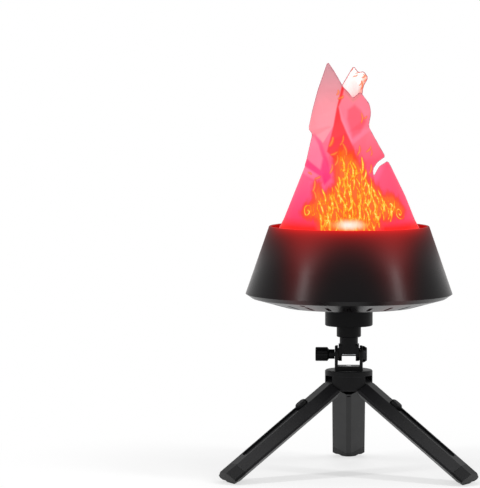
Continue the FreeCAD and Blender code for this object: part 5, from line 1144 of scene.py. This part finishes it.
class LANTERN_OT_silk(bpy.types.Operator):
    """Cuts, folds, dyes and prints the two silk panels, paints light and shade into their colour,
    and sews their hems and edges
    """

    bl_idname = "lantern.silk"
    bl_label = "Silk flame"

    def execute(self, context):
        cloth = printed_silk()
        for label, side, outline, facets, dye, painted_fold_shading, licks in (
            ("front", -1, FRONT_OUTLINE, FRONT_FACETS, FRONT_DYE_AND_PAINTED_GLOW, FRONT_PAINTED_FOLD_SHADING, FRONT_LICKS),
            ("back", 1, BACK_OUTLINE, BACK_FACETS, BACK_DYE_AND_PAINTED_GLOW, BACK_PAINTED_FOLD_SHADING, BACK_LICKS),
        ):
            panel, thread, size, area = silk_panel(
                "silk_panel_" + label, "silk_" + label, outline, side, facets, dye, painted_fold_shading,
                licks, cloth)
            hem = hem_band("silk_hem_" + label, side, cloth)
        return {"FINISHED"}


class LANTERN_OT_bowl(bpy.types.Operator):
    """Finishes the bowl, its base cover and the deck, and sets their screws"""

    bl_idname = "lantern.bowl"
    bl_label = "Bowl"

    def execute(self, context):
        coat(moulded_abs(), "bowl_shell", "base_cover")
        # The deck, the fan guard and the hoop clips carry the painted red lamp light.
        coat(deck_abs(), "flame_deck", "fan_guard", "hoop_clips")
        # Node, number, first one's angle, height of the head, shank's radius and side
        for node, count, first, head, shank, up in (
            ("deck_screws", 3, -90, 1.6 * MM, 1.3 * MM, 1),
            ("base_screws", 3, 0, 1.8 * MM, 1.5 * MM, -1),
            ("fan_screws", 4, 45, 2.0 * MM, 1.9 * MM, 1),
        ):
            screws = joined([cross_screw(low, high, head, shank, up)
                             for low, high in sectors(node, count, first)])
            steel = black_steel() if node == "base_screws" else zinc_steel()
            dress(close_up(surface_object(node + "_set", *screws)), steel, "lantern", "steel",
                  node)
        return {"FINISHED"}


class LANTERN_OT_inside(bpy.types.Operator):
    """Sets the lamps and finishes the fan, the boards and the inlet"""

    bl_idname = "lantern.inside"
    bl_label = "Lamps, fan and boards"

    def execute(self, context):
        lamps = sectors("led_lamps", 12, 0)
        lenses = joined([lamp_lens((low + high)[:2] / 2, low[2]) for low, high in lamps])
        dress(close_up(surface_object("lamp_lenses", *lenses)), lit_lens(), "lantern",
              "lamp_lens", "led_lamps")
        coat(circuit_board(), "led_board", "driver_board")
        coat(nylon(), "fan_frame", "fan_rotor", "fan_spacers", "driver_parts", "dc_jack")
        coat(copper_winding(), "fan_motor")
        coat(zinc_steel(), "silk_hoop", "board_screws", "jack_nut", "plate_screws",
             "mount_stud", "pan_screw", "clamp_bolt", "hub_screw", "hinge_pins")
        coat(brass(), "thread_insert")
        return {"FINISHED"}


class LANTERN_OT_head(bpy.types.Operator):
    """Finishes the platform, the tilting head and its clamp"""

    bl_idname = "lantern.head"
    bl_label = "Platform and head"

    def execute(self, context):
        coat(nylon(), "platform_body", "thumb_knob")
        coat(powder_coat(), "platform_plate", "tilt_yoke", "lower_fork", "hub_body", "hub_cap")
        coat(rubber(), "platform_pad")
        coat(pressed_fibre(), "friction_washers")
        coat(black_steel(), "clamp_nut")
        return {"FINISHED"}


class LANTERN_OT_legs(bpy.types.Operator):
    """Finishes the three legs and draws the leaf spring under each button"""

    bl_idname = "lantern.legs"
    bl_label = "Legs"

    def execute(self, context):
        shell, plastic, sole, steel = anodised_leg(), nylon(), rubber(), zinc_steel()
        for leg in LEGS:
            coat(shell, "leg_shell_%d" % leg, "leg_extension_%d" % leg)
            coat(plastic, "leg_end_cap_%d" % leg, "leg_button_%d" % leg)
            coat(sole, "leg_foot_%d" % leg)
            # A leaf spring fills the spring node's place, its crest raised along the release's
            # axis.
            node, release = "button_spring_%d" % leg, JOINTS["leg_release_%d" % leg]
            lift = np.array(release["axis"])
            points, faces, foot, height = leaf_spring(node_points(node), lift)
            piece = close_up(surface_object("leaf_spring_%d" % leg, points, faces))
            piece.data.polygons.foreach_set("use_smooth", [False] * len(piece.data.polygons))
            dress(piece, steel, "leg_slide_%d" % leg, "steel", node)
            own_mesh(piece)
        return {"FINISHED"}


def lamp(name, kind, place, watts):
    """A light at a place."""
    source = bpy.data.objects.new(name, bpy.data.lights.new(name, kind))
    source.location, source.data.energy = place, watts
    bpy.context.scene.collection.objects.link(source)
    return source


# The camera's frame, in pixels of a picture 480 wide and 488 high
PICTURE_WIDTH, PICTURE_HEIGHT = 480, 488
FOCAL_PIXELS = 3000
AXIS_COLUMN, HORIZON_ROW = 349.3, 43.6
CAMERA_PLACE = (0.0, -3.040, 0.438)
# The soft lights: degrees round and up, distance, width, height and watts
SOFTBOXES = (
    ("left_softbox", -57, 40, 1.7, 0.20, 1.1, 19), ("right_softbox", 61, 40, 1.7, 0.20, 1.1, 19),
    ("top_softbox", 0, 82, 1.8, 1.2, 1.2, 4), ("back_softbox", 180, 60, 1.8, 1.2, 0.8, 8),
)
LIGHTS_AIM = Vector((0, 0, 0.22))
WORLD_LEVEL = 0.38
# The red light over the deck: its lift, radius, watts and linear colour
GLOW_LIFT, GLOW_RADIUS, GLOW_WATTS, GLOW_COLOUR = 25 * MM, 30 * MM, 0.2, (1.0, 0.10, 0.05)
# The floor's half width, the marks along it and how far it lies under the feet
FLOOR_REACH, FLOOR_MARKS, FLOOR_DROP = 6.0, 13, 0.02 * MM


class LANTERN_OT_stage(bpy.types.Operator):
    """Sets the floor, the lights and the camera"""

    bl_idname = "lantern.stage"
    bl_label = "Stage"

    def execute(self, context):
        scene = context.scene
        marks = np.linspace(-FLOOR_REACH, FLOOR_REACH, FLOOR_MARKS)
        x, y = np.meshgrid(marks, marks, indexing="ij")
        points = np.stack([x, y, np.full_like(x, -FLOOR_DROP)], axis=-1).reshape(-1, 3)
        floor = surface_object("studio_floor", points, grid_faces(FLOOR_MARKS, FLOOR_MARKS))
        floor.data.materials.append(studio_paint())
        scene.world = bpy.data.worlds.new("Soft studio")
        add = emptied(scene.world)
        level = add("MapRange", [sees_background(add), 0.0, 1.0, WORLD_LEVEL])
        add("OutputWorld", [add("Background", ["#ffffff", level])])
        for name, azimuth, elevation, distance, width, height, watts in SOFTBOXES:
            a, e = math.radians(azimuth), math.radians(elevation)
            away = Vector((math.sin(a) * math.cos(e), -math.cos(a) * math.cos(e), math.sin(e)))
            box = lamp(name, "AREA", LIGHTS_AIM + away * distance, watts)
            box.data.shape, box.data.size, box.data.size_y = "RECTANGLE", width, height
            box.rotation_mode = "QUATERNION"
            box.rotation_quaternion = away.to_track_quat("Z", "Y")
        # The lamps under the deck throw red light up on the silk and the bowl's inside.
        glow = lamp("lamp_glow", "POINT", (0, 0, DECK_TOP + GLOW_LIFT), GLOW_WATTS)
        glow.data.color, glow.data.shadow_soft_size = GLOW_COLOUR, GLOW_RADIUS
        data = bpy.data.cameras.new("camera")
        data.sensor_width = 36.0
        data.lens = FOCAL_PIXELS / max(PICTURE_WIDTH, PICTURE_HEIGHT) * data.sensor_width
        data.clip_start, data.clip_end = 0.1, 50
        camera = bpy.data.objects.new("camera", data)
        camera.location = CAMERA_PLACE
        aside = (PICTURE_WIDTH / 2 - AXIS_COLUMN) / FOCAL_PIXELS
        below = (PICTURE_HEIGHT / 2 - HORIZON_ROW) / FOCAL_PIXELS
        camera.rotation_mode = "QUATERNION"
        camera.rotation_quaternion = Vector((aside, 1.0, -below)).to_track_quat("-Z", "Y")
        scene.collection.objects.link(camera)
        scene.camera = camera
        scene.view_settings.view_transform = "Standard"
        return {"FINISHED"}


class LANTERN_PT_panel(bpy.types.Panel):
    """Lists the lantern's sizes, colours and steps"""

    bl_idname = "LANTERN_PT_panel"
    bl_label = "Flame Lantern"
    bl_space_type = "VIEW_3D"
    bl_region_type = "UI"
    bl_category = "Lantern"

    def draw(self, context):
        scene = context.scene
        for group in (scene.lantern_sizes, scene.lantern_colours):
            box = self.layout.box()
            for key in group.bl_rna.properties.keys():
                if key not in {"rna_type", "name"}:
                    box.prop(group, key)
        for step in STEPS:
            self.layout.operator(step.bl_idname)


STEPS = (
    LANTERN_OT_stage,
    LANTERN_OT_bowl,
    LANTERN_OT_silk,
    LANTERN_OT_inside,
    LANTERN_OT_head,
    LANTERN_OT_legs,
)
CLASSES = (LanternSizes, LanternColours, *STEPS, LANTERN_PT_panel)


def register():
    for item in CLASSES:
        bpy.utils.register_class(item)
    bpy.types.Scene.lantern_sizes = bpy.props.PointerProperty(type=LanternSizes)
    bpy.types.Scene.lantern_colours = bpy.props.PointerProperty(type=LanternColours)


def unregister():
    del bpy.types.Scene.lantern_colours
    del bpy.types.Scene.lantern_sizes
    for item in reversed(CLASSES):
        bpy.utils.unregister_class(item)


def main():
    """Runs every step in order."""
    register()
    for step in STEPS:
        group, name = step.bl_idname.split(".")
        if getattr(getattr(bpy.ops, group), name)() != {"FINISHED"}:
            raise RuntimeError(step.bl_idname + " did not finish")


if __name__ == "__main__":
    main()
